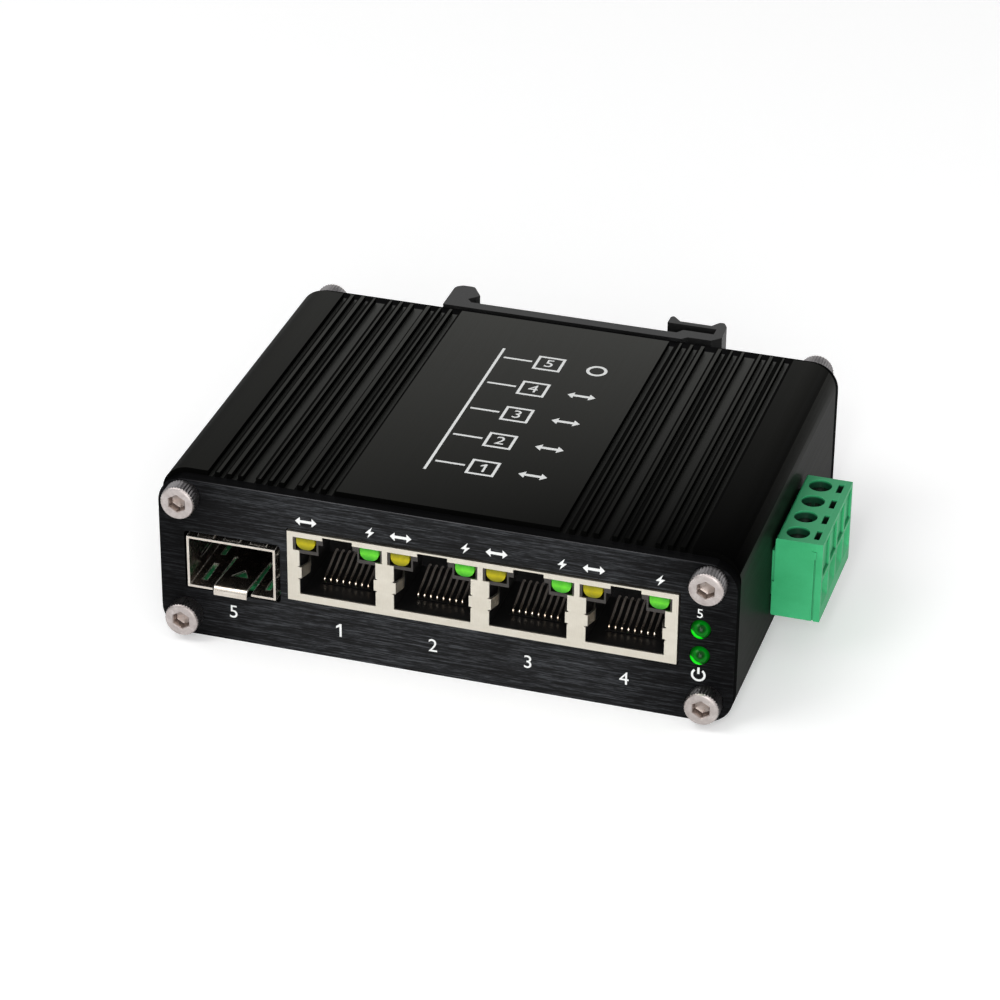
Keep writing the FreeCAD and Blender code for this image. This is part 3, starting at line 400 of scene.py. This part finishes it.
def mouldedPlastic(name, dark, light, rough, grainScale=7.0, bump=0.25):
    # moulded plastic: slow flow marks in the colour and the spark-eroded grain of the mould
    finish = Finish(name, Specular_IOR_Level=0.45)
    flow = finish.noise((0.12, 0.12, 0.18), 3.0)
    grain = finish.noise((grainScale, grainScale, grainScale), 2.0, 0.6)
    finish.feed("Base Color", finish.ramp(flow * 0.75 + grain * 0.25, (0.35, dark), (0.65, light)))
    finish.feed("Roughness", finish.spread(grain, rough - 0.05, rough + 0.07))
    finish.feed("Normal", finish.bump(grain, bump, 0.012))
    return finish


# the top, crevice, well and slot colours are painted shade; the rim colour is a painted highlight
plugMoulding = {"light": (0.050, 0.490, 0.198), "dark": (0.030, 0.385, 0.143), "rough": 0.46,
                "top": (0.018, 0.27, 0.105), "crevice": (0.004, 0.10, 0.045),
                "rim": (0.085, 0.50, 0.24), "wellShade": (0.002, 0.048, 0.020),
                "slot": (0.001, 0.010, 0.004), "creviceReach": 0.5, "rimWidth": 0.12,
                "poles": 4, "screwHead": 3.5, "wellRadius": 1.95, "wellLevels": (0.45, 0.03),
                "slotWidth": 0.95, "slotHalf": 1.45, "slotDepth": 2.6, "outerSlack": 0.05}


def plugPlastic():
    # green moulding with painted shade: darker on top, in its screw wells and test slots and in its
    # crevices, and with a painted highlight, paler, along its edges. The wells and slots repeat from
    # pole to pole
    look = plugMoulding
    finish = mouldedPlastic("greenPlug", look["dark"], look["light"], look["rough"], 6.0, 0.25)
    low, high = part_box("plug_body")
    screwLow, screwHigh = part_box("plug_screws")
    pitch = (screwHigh.y - screwLow.y - look["screwHead"] * mm) / (look["poles"] - 1) / mm
    screwX = centreX("plug_screws")
    outer = high.x / mm
    top = high.z / mm
    level = finish.axis("Z")
    across = finish.axis("X")
    inPole = (finish.axis("Y") - (low.y + high.y) / 2 / mm) % pitch - pitch / 2
    radius = (inPole * inPole + (across - screwX) * (across - screwX)) ** 0.5
    corner = finish.spread(finish.crevice(look["creviceReach"]), 0.0, 0.9, 0.25, 0.6)
    below = finish.spread(level, 1.0, 0.0, *(top - depth for depth in look["wellLevels"]))
    slot = below * (across > outer - look["slotWidth"]) * (across < outer + look["outerSlack"])
    slot = slot * (abs(inPole) < look["slotHalf"]) * (level > top - look["slotDepth"])
    # painted shade on top, in the crevices, the wells and the test slots, and a painted highlight on
    # the edges
    colour = finish.mixed((finish.facing("Z") > 0.7) * 0.8, finish.colour, look["top"])
    colour = finish.mixed(corner, colour, look["crevice"])
    colour = finish.mixed(finish.edge(look["rimWidth"]) * 0.45, colour, look["rim"])
    colour = finish.mixed(below * (radius < look["wellRadius"]), colour, look["wellShade"])
    finish.feed("Base Color", finish.mixed(slot, colour, look["slot"]))
    return finish


jackMoulding = {"inner": ((0.004, 0.004, 0.004), (0.009, 0.0085, 0.0085)),
                "front": ((0.006, 0.0058, 0.0058), (0.036, 0.032, 0.029)), "frontDepth": 0.4}


def jackPlastic():
    # black moulding, paler on the narrow faces that its front shows
    finish = mouldedPlastic("jackBlack", *jackMoulding["inner"], 0.36)
    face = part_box("jack_housing")[0].y / mm
    nearFront = (finish.axis("Y") < face + jackMoulding["frontDepth"]) * (finish.facing("Y") < -0.5)
    finish.feed("Base Color", finish.mixed(nearFront, *jackMoulding["front"]))
    return finish


def solderMask():
    # green solder mask over tracks, with plated pads showing through
    finish = Finish("solderMask", Coat_Weight=0.3, Coat_Roughness=0.15)
    across = finish.node("ShaderNodeTexWave", {"bands_direction": "X"}, {
        "Vector": finish.place((0.35, 0.35, 0.35)), "Scale": 1.0, "Distortion": 3.0, "Detail": 1.0},
        out="Fac")
    cells = finish.node("ShaderNodeTexVoronoi", {}, {
        "Vector": finish.place((0.8, 0.8, 0.8)), "Scale": 1.0}, out="Distance")
    tracks = across > 0.62
    pads = cells < 0.16
    colour = finish.mixed(tracks, (0.012, 0.16, 0.055), (0.03, 0.27, 0.10))
    finish.feed("Base Color", finish.mixed(pads, colour, (0.62, 0.60, 0.52)))
    finish.feed("Metallic", pads * 0.9)
    finish.feed("Roughness", 0.34 - pads * 0.06)
    finish.feed("Normal", finish.bump(tracks * 0.5 + pads, 0.3, 0.02))
    return finish


def platedContact():
    # spring wire, gold flashed, with streaks along it
    finish = Finish("platedContact", Metallic=1.0)
    streak = finish.noise((4.0, 0.5, 0.5), 3.0)
    finish.feed("Base Color", finish.ramp(streak, (0.35, (0.78, 0.60, 0.32)),
                                          (0.65, (0.95, 0.84, 0.62))))
    finish.feed("Roughness", finish.spread(streak, 0.30, 0.18))
    return finish


def plainMetal(name, dark, light, rough):
    finish = Finish(name, Metallic=1.0)
    cloud = finish.noise((0.8, 0.8, 0.8), 4.0, 0.6)
    finish.feed("Base Color", finish.ramp(cloud, (0.3, dark), (0.7, light)))
    finish.feed("Roughness", finish.spread(cloud, rough + 0.1, rough - 0.05))
    finish.feed("Normal", finish.bump(cloud, 0.15, 0.03))
    return finish


# the lenses' colours and glow are painted light
lampLenses = {
    "amberLens": {"lights": "link_light", "core": (0.40, 0.345, 0.006), "rim": (0.15, 0.145, 0.004),
                  "glow": (0.36, 0.27, 0.0), "strength": 0.14},
    "greenLens": {"lights": "feed_light", "core": (0.11, 0.52, 0.03), "rim": (0.03, 0.26, 0.015),
                  "glow": (0.10, 0.48, 0.02), "strength": 0.25},
}


def lampLens(name, lights, core, rim, glow, strength):
    # tinted lens over a light pipe, with painted light: its colour and an emission glow are brightest
    # at half its height, and its colour is deeper at its rim
    finish = Finish(name, Specular_IOR_Level=0.22, Emission_Strength=strength)
    low, high = (corner.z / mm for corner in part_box(f"{lights}_1"))
    height = abs(finish.axis("Z") - (low + high) / 2) / ((high - low) / 2)
    mottle = finish.noise((1.1, 1.1, 1.1), 2.0)
    depth = height * 0.6 + mottle * 0.55
    finish.feed("Base Color", finish.ramp(depth, (0.2, core), (0.85, rim)))
    finish.feed("Emission Color", finish.ramp(depth, (0.2, glow), (0.9, (0.0, 0.0, 0.0))))
    finish.feed("Roughness", finish.spread(mottle, 0.14, 0.3))
    return finish


# painted light: emission colours for the die cup, the ring and a crescent of light on the dome
statusGlow = {"body": (0.0, 0.016, 0.001), "shade": (0.0, 0.045, 0.001), "middle": (0.0, 0.17, 0.006),
              "cup": (0.0, 0.025, 0.002), "crescent": (0.0, 0.80, 0.004), "strength": 1.0,
              "cupAxis": (0.25, -0.83, 0.50), "glowSide": (-0.48, -0.55, -0.68)}


def statusLens(node):
    # green dome with painted light, an emission glow: a dark die cup sunk in its middle, a ring round
    # that, and a painted crescent of light low at one side. Places on the dome are lengths along two
    # directions from its centre, in radii
    low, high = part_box(node)
    radius = (high.x - low.x) / 2 / mm
    centre = {"X": centreX(node), "Y": low.y / mm + radius, "Z": high.z / mm - radius}
    finish = Finish(node + "Lens", Base_Color=statusGlow["body"], Roughness=0.08,
                    Specular_IOR_Level=0.12, Emission_Strength=statusGlow["strength"])
    spot = [(finish.axis(which) - middle) / radius for which, middle in centre.items()]

    def along(direction):
        return spot[0] * direction[0] + spot[1] * direction[1] + spot[2] * direction[2]

    depth = along(statusGlow["cupAxis"])
    fromCup = (1.0 - depth * depth) ** 0.5
    colour = finish.ramp(fromCup, (0.16, statusGlow["cup"]), (0.36, statusGlow["shade"]),
                         (0.55, statusGlow["middle"]), (0.95, statusGlow["shade"]))
    crescent = finish.spread(along(statusGlow["glowSide"]), 0.0, 1.0, 0.58, 0.72)
    crescent = crescent * finish.spread(fromCup, 0.0, 1.0, 0.70, 0.80)
    finish.feed("Emission Color", finish.mixed(crescent, colour, statusGlow["crescent"]))
    return finish


dress(anodisedExtrusion(), "upper_shell", "lower_shell")
for plate in ("front_panel", "rear_panel"):
    dress(brushedPlate(plate), plate)
dress(tinnedSheet("jackTin", (0.92, 0.87, 0.76), (0.80, 0.75, 0.64), 0.36), "jack_shield")
dress(foldedCage(), "module_cage")
dress(jackPlastic(), "jack_housing", "module_connector", "light_holder")
dress(plugPlastic(), "plug_body", "plug_cover", "terminal_header")
dress(mouldedPlastic("clipBlack", (0.0035, 0.0036, 0.0036), (0.008, 0.008, 0.0082), 0.42, 3.5, 0.3),
      "din_clip")
dress(solderMask(), "main_board")
dress(platedContact(), "module_contacts")
dress(plainMetal("zincPlate", (0.42, 0.41, 0.38), (0.68, 0.67, 0.64), 0.3),
      "plug_clamps", "plug_contacts", "header_pins")
dress(plainMetal("blackenedScrew", (0.05, 0.055, 0.05), (0.16, 0.17, 0.15), 0.22), "plug_screws")
dress(plainMetal("countersunkSteel", (0.20, 0.20, 0.20), (0.42, 0.42, 0.42), 0.34), "clip_screws")
dress(plainMetal("canAluminium", (0.62, 0.62, 0.62), (0.80, 0.80, 0.80), 0.3),
      "crystal", "bulk_capacitor_1", "bulk_capacitor_2")
dress(mouldedPlastic("chipBlack", (0.010, 0.010, 0.011), (0.022, 0.022, 0.023), 0.5),
      "switch_chip", "flash_memory", "power_controller", "power_inductor",
      "transformer_1", "transformer_2")
for lens, lamp in lampLenses.items():
    dress(lampLens(lens, **lamp), *(f"{lamp['lights']}_{port}" for port in ports))
for light in ("power_light", "fibre_light"):
    dress(statusLens(light), light)
print("switch: finishes on the frame's nodes")


def ringFaces(rows, columns):
    # the quads between neighbouring rings of a grid whose rings close on themselves
    row, column = np.meshgrid(np.arange(rows - 1), np.arange(columns), indexing="ij")
    after = (column + 1) % columns
    return np.stack([row * columns + column, row * columns + after,
                     (row + 1) * columns + after, (row + 1) * columns + column], -1).reshape(-1, 4)


def placed(name, mesh, finish):
    # a new object at the origin: its place is in its mesh
    mesh.materials.append(finish.material)
    piece = bpy.data.objects.new(name, mesh)
    bpy.context.scene.collection.objects.link(piece)
    return piece


def turned(name, radius, along, centres, way, finish):
    # radius and along are grids of rows by angles: each row is a ring round the axis, each
    # column a profile. The point is the centre plus radius times (cos, sin) across the axis
    # and along times the axis. Both ends of the profile are closed by one pole each. The
    # lathe map runs round the axis in X, and row by row from 0 to 1 in Y.
    rows, columns = radius.shape
    angle = np.linspace(0.0, 2 * np.pi, columns, endpoint=False)
    across = np.stack([radius * np.cos(angle), along * way, radius * np.sin(angle)], -1)
    poles = np.array([[0.0, along[0, 0] * way, 0.0], [0.0, along[-1, 0] * way, 0.0]])
    single = np.vstack([across.reshape(-1, 3), poles])
    ring = np.arange(columns)
    nextRing = (ring + 1) % columns
    first = np.stack([np.full(columns, rows * columns), nextRing, ring], -1)
    last = np.stack([np.full(columns, rows * columns + 1), (rows - 1) * columns + ring,
                     (rows - 1) * columns + nextRing], -1)
    parts = [part[:, ::way] for part in (ringFaces(rows, columns), first, last)]
    points = np.vstack([single + np.array(centre) for centre in centres])
    step = len(single)
    faces = []
    for copy in range(len(centres)):
        for part in parts:
            faces += (part + copy * step).tolist()
    mesh = bpy.data.meshes.new(name)
    mesh.from_pydata(points.tolist(), [], faces)
    lathe = mesh.uv_layers.new(name="lathe")
    rowHeights = np.linspace(0.0, 1.0, rows)
    heights = np.concatenate([np.repeat(rowHeights, columns), rowHeights[[0, -1]]])
    corner = np.empty(len(mesh.loops), dtype=np.int32)
    mesh.loops.foreach_get("vertex_index", corner)
    local = corner % step
    uv = np.stack([(local % columns) / columns, heights[local]], -1)
    lathe.data.foreach_set("uv", uv.astype(np.float32).ravel())
    return placed(name, mesh, finish)


capScrew = {"headRadius": 2.8, "headHeight": 3.0, "edge": 0.3, "rimInset": 0.12, "rimDrop": 0.1,
            "faceRadius": 1.95, "roundInset": (1.6, 0.7), "roundDrop": 0.3,
            "socket": 2.5, "socketDepth": 1.5, "drillDepth": 0.25, "drillShare": 0.35,
            "floorShare": 0.98, "floorRise": 0.06, "mouthDepth": 0.22, "mouthFlare": 1.12,
            "teeth": 36, "toothDepth": 0.2, "toothShape": 0.7, "perTooth": 4,
            "knurlFoot": 0.30, "neckLevel": 0.18, "neckInset": 0.16, "seatInset": 0.22,
            "shankRadius": 1.5, "shankLength": 8.0, "shankChamfer": 0.3, "sharpAngle": 32.0}


def capScrews(name, node, seat, way, finish):
    # a socket head cap screw: hexagonal socket, rounded rim, straight knurl and plain shank
    low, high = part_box(node)
    size = capScrew
    head = size["headRadius"] * mm
    columns = size["teeth"] * size["perTooth"]
    angle = np.linspace(0.0, 2 * np.pi, columns, endpoint=False)
    # distance to a hexagon's side at each angle: half its width over the cosine of the
    # angle from the middle of that side
    fromMiddle = (angle + np.pi / 6) % (np.pi / 3) - np.pi / 6
    hexagon = size["socket"] * mm / 2 / np.cos(fromMiddle)
    wave = (0.5 - 0.5 * np.cos(angle * size["teeth"])) ** size["toothShape"]
    tooth = wave * size["toothDepth"] * mm
    plain = np.zeros(columns)
    top = size["headHeight"]
    edge = size["edge"]
    deep = top - size["socketDepth"]
    shank = size["shankRadius"]
    chamfer = size["shankChamfer"]
    outerRound, innerRound = size["roundInset"]
    profile = [
        (hexagon * size["drillShare"], deep - size["drillDepth"]),      # the socket
        (hexagon * size["floorShare"], deep),
        (hexagon, deep + size["floorRise"]),
        (hexagon, top - size["mouthDepth"]),
        (hexagon * size["mouthFlare"], top),
        (plain + size["faceRadius"] * mm, top),                         # the face and its rounded rim
        (plain + head - outerRound * edge * mm, top),
        (plain + head - innerRound * edge * mm, top - size["roundDrop"] * edge),
        (plain + head - size["rimInset"] * mm, top - edge),
        (head - tooth, top - edge - size["rimDrop"]),                   # the knurl
        (head - tooth, top * 0.5),
        (head - tooth, size["knurlFoot"]),
        (plain + head - size["neckInset"] * mm, size["neckLevel"]),
        (plain + head - size["seatInset"] * mm, 0.0),
        (plain + shank * mm, 0.0),                                      # the shank
        (plain + shank * mm, chamfer - size["shankLength"]),
        (plain + (shank - chamfer) * mm, -size["shankLength"]),
    ]
    radius = np.array([ring for ring, height in profile])
    heights = np.array([height for ring, height in profile])
    along = np.repeat(heights[:, None] * mm, columns, axis=1)
    centres = [(x, seat, z) for x in (low.x + head, high.x - head)
               for z in (low.z + head, high.z - head)]
    piece = turned(name, radius, along, centres, way, finish)
    piece.data.shade_smooth()
    piece.data.set_sharp_from_angle(angle=math.radians(size["sharpAngle"]))
    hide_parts(node)
    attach(piece, "switch")


stainless = turnedStainless()
capScrews("frontCapScrews", "front_screws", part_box("front_panel")[0].y, -1, stainless)
capScrews("rearCapScrews", "rear_screws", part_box("rear_panel")[1].y, 1, stainless)
print("switch: cap screws knurled")


portWire = {"radius": 0.19, "pitch": 1.02, "count": 8, "sides": 8, "samples": 40, "sharpAngle": 50.0,
            # route from the board up, forward round the bend, then back and up: depth behind the
            # tail, height above the port's lower wire end, for wires that stand this high
            "route": ((0.0, 0.0), (0.0, 1.2), (-0.05, 1.75), (-0.50, 2.02), (-0.55, 2.55), (0.10, 2.72),
                      (2.2, 3.35), (4.2, 4.20), (5.1, 4.40), (5.45, 4.15)), "routeHeight": 4.55,
            "tail": 0.66, "bendLevel": 2.9, "bendFade": 0.9, "runTone": (0.66, 0.61, 0.57),
            "runGlow": (0.030, 0.026, 0.023)}


def smoothPath(points, samples):
    # quadratic B-spline: each span is the even blend of three control points, worked out for
    # all samples at once; the end points are doubled, so the path reaches them
    held = np.vstack([points[:1], points, points[-1:]])
    spans = len(held) - 2
    at = np.linspace(0.0, spans - 1e-6, samples)
    span = at.astype(int)
    part = (at - span)[:, None]
    return (0.5 * (1 - part) ** 2 * held[span] + (0.5 + part - part ** 2) * held[span + 1]
            + 0.5 * part ** 2 * held[span + 2])


def portWires(port, finish):
    # eight round wires: one path in the depth-height plane carries a circle, repeated across
    node = f"port_contacts_{port}"
    low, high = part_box(node)
    size = portWire
    sides = size["sides"]
    samples = size["samples"]
    reach = size["radius"]
    route = np.array(size["route"]) * (high.z - low.z) / mm / size["routeHeight"]
    depth, height = smoothPath(route, samples).T
    slope = np.arctan2(np.gradient(height), np.gradient(depth))
    angle = np.linspace(0.0, 2 * np.pi, sides, endpoint=False)
    ring = reach * np.cos(angle)[None, :]
    lift = reach * np.sin(angle)[None, :]
    wire = np.stack([np.broadcast_to(ring, (samples, sides)),
                     depth[:, None] - np.sin(slope)[:, None] * lift,
                     height[:, None] + np.cos(slope)[:, None] * lift], -1).reshape(-1, 3)
    start = np.array([0.0, low.y / mm + size["tail"], low.z / mm + reach])
    across = (np.arange(size["count"]) - (size["count"] - 1) / 2) * size["pitch"] + centreX(node)
    points = np.concatenate([wire + start + [x, 0.0, 0.0] for x in across]) * mm
    quads = ringFaces(samples, sides)
    firstEnd = np.arange(sides)[::-1]
    lastEnd = np.arange(sides) + (samples - 1) * sides
    faces = []
    for copy in range(size["count"]):
        step = copy * len(wire)
        faces += (quads + step).tolist() + [(firstEnd + step).tolist(), (lastEnd + step).tolist()]
    mesh = bpy.data.meshes.new(f"portWires{port}")
    mesh.from_pydata(points.tolist(), [], faces)
    piece = placed(f"portWires{port}", mesh, finish)
    mesh.shade_smooth()
    mesh.set_sharp_from_angle(angle=math.radians(size["sharpAngle"]))
    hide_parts(node)
    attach(piece, "switch")


def springWire():
    # phosphor bronze wire: dull and dark on its run, with a faint painted glow there, flashed with gold
    # round the bend
    finish = Finish("springWire", Metallic=1.0)
    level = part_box("port_contacts_1")[0].z / mm + portWire["bendLevel"]
    run = finish.spread(finish.axis("Z"), 0.0, 1.0, level, level + portWire["bendFade"])
    streak = finish.noise((4.0, 0.5, 0.5), 3.0)
    bend = finish.ramp(streak, (0.35, (0.92, 0.70, 0.50)), (0.65, (1.0, 0.93, 0.82)))
    finish.feed("Base Color", finish.mixed(run, bend, portWire["runTone"]))
    finish.feed("Roughness", finish.spread(streak, 0.26, 0.16) + run * 0.15)
    # a faint emission on the run: painted light
    finish.feed("Emission Color", finish.mixed(run, (0.0, 0.0, 0.0), portWire["runGlow"]))
    finish.feed("Emission Strength", 1.0)
    return finish


wireFinish = springWire()
for port in ports:
    portWires(port, wireFinish)
print("switch: contact wires bent")


ink = Finish("screenInk", Roughness=0.55)
inkGrain = ink.noise((5.0, 5.0, 5.0), 2.0)
ink.feed("Base Color", ink.ramp(inkGrain, (0.3, (0.70, 0.71, 0.70)), (0.7, (0.86, 0.87, 0.86))))

printing = {"lift": 0.02, "thick": 0.02, "numeral": 3.2, "numeralLevel": 5.1, "signLevel": 23.5,
            "signSize": 0.86, "powerRing": (1.15, 0.8), "oneShare": 0.36, "statusShare": 0.7,
            # X from the status lights' middle, and level
            "statusNumeral": (-0.2, 18.8), "statusSign": (-0.1, 8.1)}

# flat outlines, each a list of closed loops
doubleArrow = [[(-2.0, 0.0), (-1.1, 0.85), (-1.1, 0.27), (1.1, 0.27), (1.1, 0.85), (2.0, 0.0),
                (1.1, -0.85), (1.1, -0.27), (-1.1, -0.27), (-1.1, -0.85)]]
bolt = [[(0.45, 1.15), (-0.85, -0.2), (-0.12, -0.2), (-0.45, -1.15), (0.85, 0.2), (0.12, 0.2)]]
# the numeral 1, with a slanted flag and no foot
figureOne = [[(0.10, 1.0), (0.36, 1.0), (0.36, -1.0), (0.06, -1.0), (0.06, 0.52), (-0.42, 0.30),
              (-0.42, 0.58)]]


def ringLoops(outer, inner, sides=28):
    # two circles, the inner one a hole
    angle = np.linspace(0.0, 2 * np.pi, sides, endpoint=False)
    circle = np.stack([np.cos(angle), np.sin(angle)], -1)
    return [(circle * size).tolist() for size in (outer, inner)]


def openRing(outer, inner, gap=38.0, rise=0.15, sides=26):
    # a broken ring with an upright bar in its gap: the usual sign for power
    angle = np.radians(np.linspace(90.0 + gap, 450.0 - gap, sides))
    circle = np.stack([np.cos(angle), np.sin(angle)], -1)
    band = np.vstack([circle * outer, circle[::-1] * inner])
    half = (outer - inner) / 2
    return [band.tolist()] + bar(-half, half, rise, outer + rise)


def square(size, line, centre):
    # a square frame: an outer loop and the hole in it
    corner = np.array([(-1, -1), (1, -1), (1, 1), (-1, 1)]) / 2
    return [(corner * size + centre).tolist(), (corner * (size - 2 * line) + centre).tolist()]


def bar(left, right, low, high):
    # an upright rectangle between two places across and two levels
    return [[(left, low), (right, low), (right, high), (left, high)]]


def printed(name, curve, matrix):
    # a flat curve made a thin mesh, then put in its place
    holder = bpy.data.objects.new(name + "Curve", curve)
    bpy.context.scene.collection.objects.link(holder)
    bpy.context.view_layer.update()
    solved = holder.evaluated_get(bpy.context.evaluated_depsgraph_get())
    mesh = bpy.data.meshes.new_from_object(solved)
    bpy.data.objects.remove(holder)
    mesh.transform(matrix)
    mesh.materials.clear()
    piece = placed(name, mesh, ink)
    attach(piece, "switch")
    return piece


def numeral(name, text, size, spot, turn):
    if text == "1":
        return sign(name, figureOne, size * printing["oneShare"], spot, turn)
    curve = bpy.data.curves.new(name, "FONT")
    curve.body = text
    curve.size = size * mm
    curve.align_x = "CENTER"
    curve.align_y = "CENTER"
    curve.extrude = printing["thick"] / 2 * mm
    return printed(name, curve, Matrix.Translation(spot) @ turn)


def sign(name, loops, size, spot, turn):
    curve = bpy.data.curves.new(name, "CURVE")
    curve.dimensions = "2D"
    curve.fill_mode = "BOTH"
    curve.extrude = printing["thick"] / 2 * mm
    for loop in loops:
        spline = curve.splines.new("POLY")
        spline.points.add(len(loop) - 1)
        corners = np.hstack([np.array(loop) * size * mm, np.tile((0.0, 1.0), (len(loop), 1))])
        spline.points.foreach_set("co", corners.ravel())
        spline.use_cyclic_u = True
    return printed(name, curve, Matrix.Translation(spot) @ turn)


def onFront(x, z):
    return Vector((x * mm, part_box("front_panel")[0].y - printing["lift"] * mm, z * mm))


upright = Matrix.Rotation(math.radians(90), 4, "X")
for port in ports:
    numeral(f"portNumeral{port}", str(port), printing["numeral"],
            onFront(centreX(f"port_contacts_{port}"), printing["numeralLevel"]), upright)
    sign(f"linkSign{port}", doubleArrow, printing["signSize"],
         onFront(centreX(f"link_light_{port}"), printing["signLevel"]), upright)
    sign(f"feedSign{port}", bolt, printing["signSize"],
         onFront(centreX(f"feed_light_{port}"), printing["signLevel"]), upright)
numeral("bayNumeral", "5", printing["numeral"],
        onFront(centreX("module_cage"), printing["numeralLevel"]), upright)
shift, level = printing["statusNumeral"]
numeral("statusNumeral", "5", printing["numeral"] * printing["statusShare"],
        onFront(centreX("fibre_light") + shift, level), upright)
shift, level = printing["statusSign"]
sign("powerSign", openRing(*printing["powerRing"]), 1.0,
     onFront(centreX("power_light") + shift, level), upright)

# the roof carries a plain map of the ports: a line with five numbered boxes
roofMap = {"rows": 5, "line": 0.45, "reach": 21.0, "pitch": 9.0, "lineX": -7.0, "boxX": 1.5, "box": 4.6,
           "gap": 0.6, "signX": 9.5, "signSize": 1.15, "ring": (1.5, 1.05), "numeral": 3.4}


def onRoof(x, y):
    return Vector((x * mm, y * mm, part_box("upper_shell")[1].z + printing["lift"] * mm))


flat = Matrix.Identity(4)
half = roofMap["line"] / 2
boxLeft = roofMap["boxX"] - roofMap["box"] / 2
for row in range(roofMap["rows"]):
    y = (row - (roofMap["rows"] - 1) / 2) * roofMap["pitch"]
    boxes = square(roofMap["box"], roofMap["line"], (roofMap["boxX"], y))
    boxes += bar(roofMap["lineX"] + half + roofMap["gap"], boxLeft - roofMap["gap"], y - half, y + half)
    mark = ringLoops(*roofMap["ring"]) if row == roofMap["rows"] - 1 else doubleArrow
    sign(f"roofBox{row + 1}", boxes, 1.0, onRoof(0, 0), flat)
    numeral(f"roofNumeral{row + 1}", str(row + 1), roofMap["numeral"], onRoof(roofMap["boxX"], y),
            flat)
    sign(f"roofSign{row + 1}", mark, roofMap["signSize"], onRoof(roofMap["signX"], y), flat)
spine = bar(roofMap["lineX"] - half, roofMap["lineX"] + half, -roofMap["reach"], roofMap["reach"])
sign("roofLine", spine, 1.0, onRoof(0, 0), flat)
print("switch: marks printed")


studio = {"floorTone": (0.90, 0.90, 0.90), "floorReach": 3.0, "floorGlow": 0.30, "worldLevel": 0.5,
          "leastLevel": 0.3, "horizonLevel": 0.3, "horizonFrom": 0.12, "horizonTo": 0.55}
white = (1.0, 1.0, 1.0)


def studioFloor():
    # a pale plane with a low glow that only the camera sees, so that it turns white and keeps
    # the object's shadow
    reach = studio["floorReach"]
    mesh = bpy.data.meshes.new("studioFloor")
    mesh.from_pydata([(-reach, -reach, 0), (reach, -reach, 0), (reach, reach, 0), (-reach, reach, 0)],
                     [], [(0, 1, 2, 3)])
    finish = Finish("paleFloor", Roughness=0.9, Specular_IOR_Level=0.0, Base_Color=studio["floorTone"])
    seen = finish.node("ShaderNodeLightPath", out="Is Camera Ray")
    glow = finish.node("ShaderNodeEmission", {}, {
        "Color": rgba(white), "Strength": seen * studio["floorGlow"]})
    finish.put(finish.out.inputs[0], finish.node("ShaderNodeAddShader", {}, {0: finish.whole, 1: glow}))
    placed("studioFloor", mesh, finish)


def studioWorld():
    # white for what looks straight at it; for gloss it falls off towards the horizon
    world = bpy.data.worlds.new("studioWorld")
    world.use_nodes = True
    sky = Wiring(world.node_tree)
    aim = sky.node("ShaderNodeTexCoord", out="Generated")
    height = sky.node("ShaderNodeSeparateXYZ", {}, {0: aim}, out="Z")
    fade = sky.spread(height, studio["horizonLevel"], 1.0, studio["horizonFrom"], studio["horizonTo"])
    seen, through, glossy, diffuse = (
        sky.node("ShaderNodeLightPath", out=f"Is {kind} Ray")
        for kind in ("Camera", "Transmission", "Glossy", "Diffuse"))
    level = sky.greater(sky.greater(seen, through), glossy * fade)
    level = sky.greater(level, studio["leastLevel"])
    level = sky.greater(level, diffuse * studio["worldLevel"])
    back = sky.node("ShaderNodeBackground", {}, {"Color": rgba(white), "Strength": level})
    sky.node("ShaderNodeOutputWorld", {}, {0: back})
    bpy.context.scene.world = world


softboxAim = (0.0, 0.0, 0.015)
softboxes = {
    "keySoftbox": {"place": (-0.45, -0.35, 0.85), "size": 0.5, "power": 2.6},
    "frontSoftbox": {"place": (0.30, -1.0, 0.34), "size": 0.6, "power": 6.0},
    "sparkLamp": {"place": (0.10, -0.75, 0.62), "size": 0.08, "power": 0.8},
}


def studioLights():
    # square lamps, each turned towards the middle of the object
    aim = Vector(softboxAim)
    for name, box in softboxes.items():
        lamp = bpy.data.lights.new(name, "AREA")
        lamp.size = box["size"]
        lamp.energy = box["power"]
        holder = bpy.data.objects.new(name, lamp)
        holder.location = box["place"]
        holder.rotation_euler = (aim - holder.location).to_track_quat("-Z", "Y").to_euler()
        bpy.context.scene.collection.objects.link(holder)


cameraPose = {"aim": (0.0, 1.25, 14.0), "turn": 16.818, "tilt": 29.829, "roll": 0.558,
              "distance": 612.18, "slide": (1.474, 1.591), "lens": 137.74, "sensor": 36.0}


def studioCamera():
    # the camera looks at the aim from its distance, turned about Z, tilted down, then rolled
    pose = cameraPose
    camera = bpy.data.cameras.new("studioCamera")
    camera.sensor_width = pose["sensor"]
    camera.lens = pose["lens"]
    camera.clip_start = 0.01
    holder = bpy.data.objects.new("studioCamera", camera)
    bpy.context.scene.collection.objects.link(holder)
    turn = Matrix.Rotation(math.radians(pose["turn"]), 4, "Z")
    turn = turn @ Matrix.Rotation(math.radians(-pose["tilt"]), 4, "X")
    turn = turn @ Matrix.Rotation(math.radians(-pose["roll"]), 4, "Y")
    back = turn @ Vector((-pose["slide"][0] * mm, -pose["distance"] * mm, -pose["slide"][1] * mm))
    place = Matrix.Translation(Vector(pose["aim"]) * mm + back)
    holder.matrix_world = place @ turn @ Matrix.Rotation(math.radians(90), 4, "X")
    bpy.context.scene.camera = holder


studioFloor()
studioWorld()
studioLights()
studioCamera()
bpy.context.scene.view_settings.view_transform = "Standard"
print("switch: floor, light and camera set")
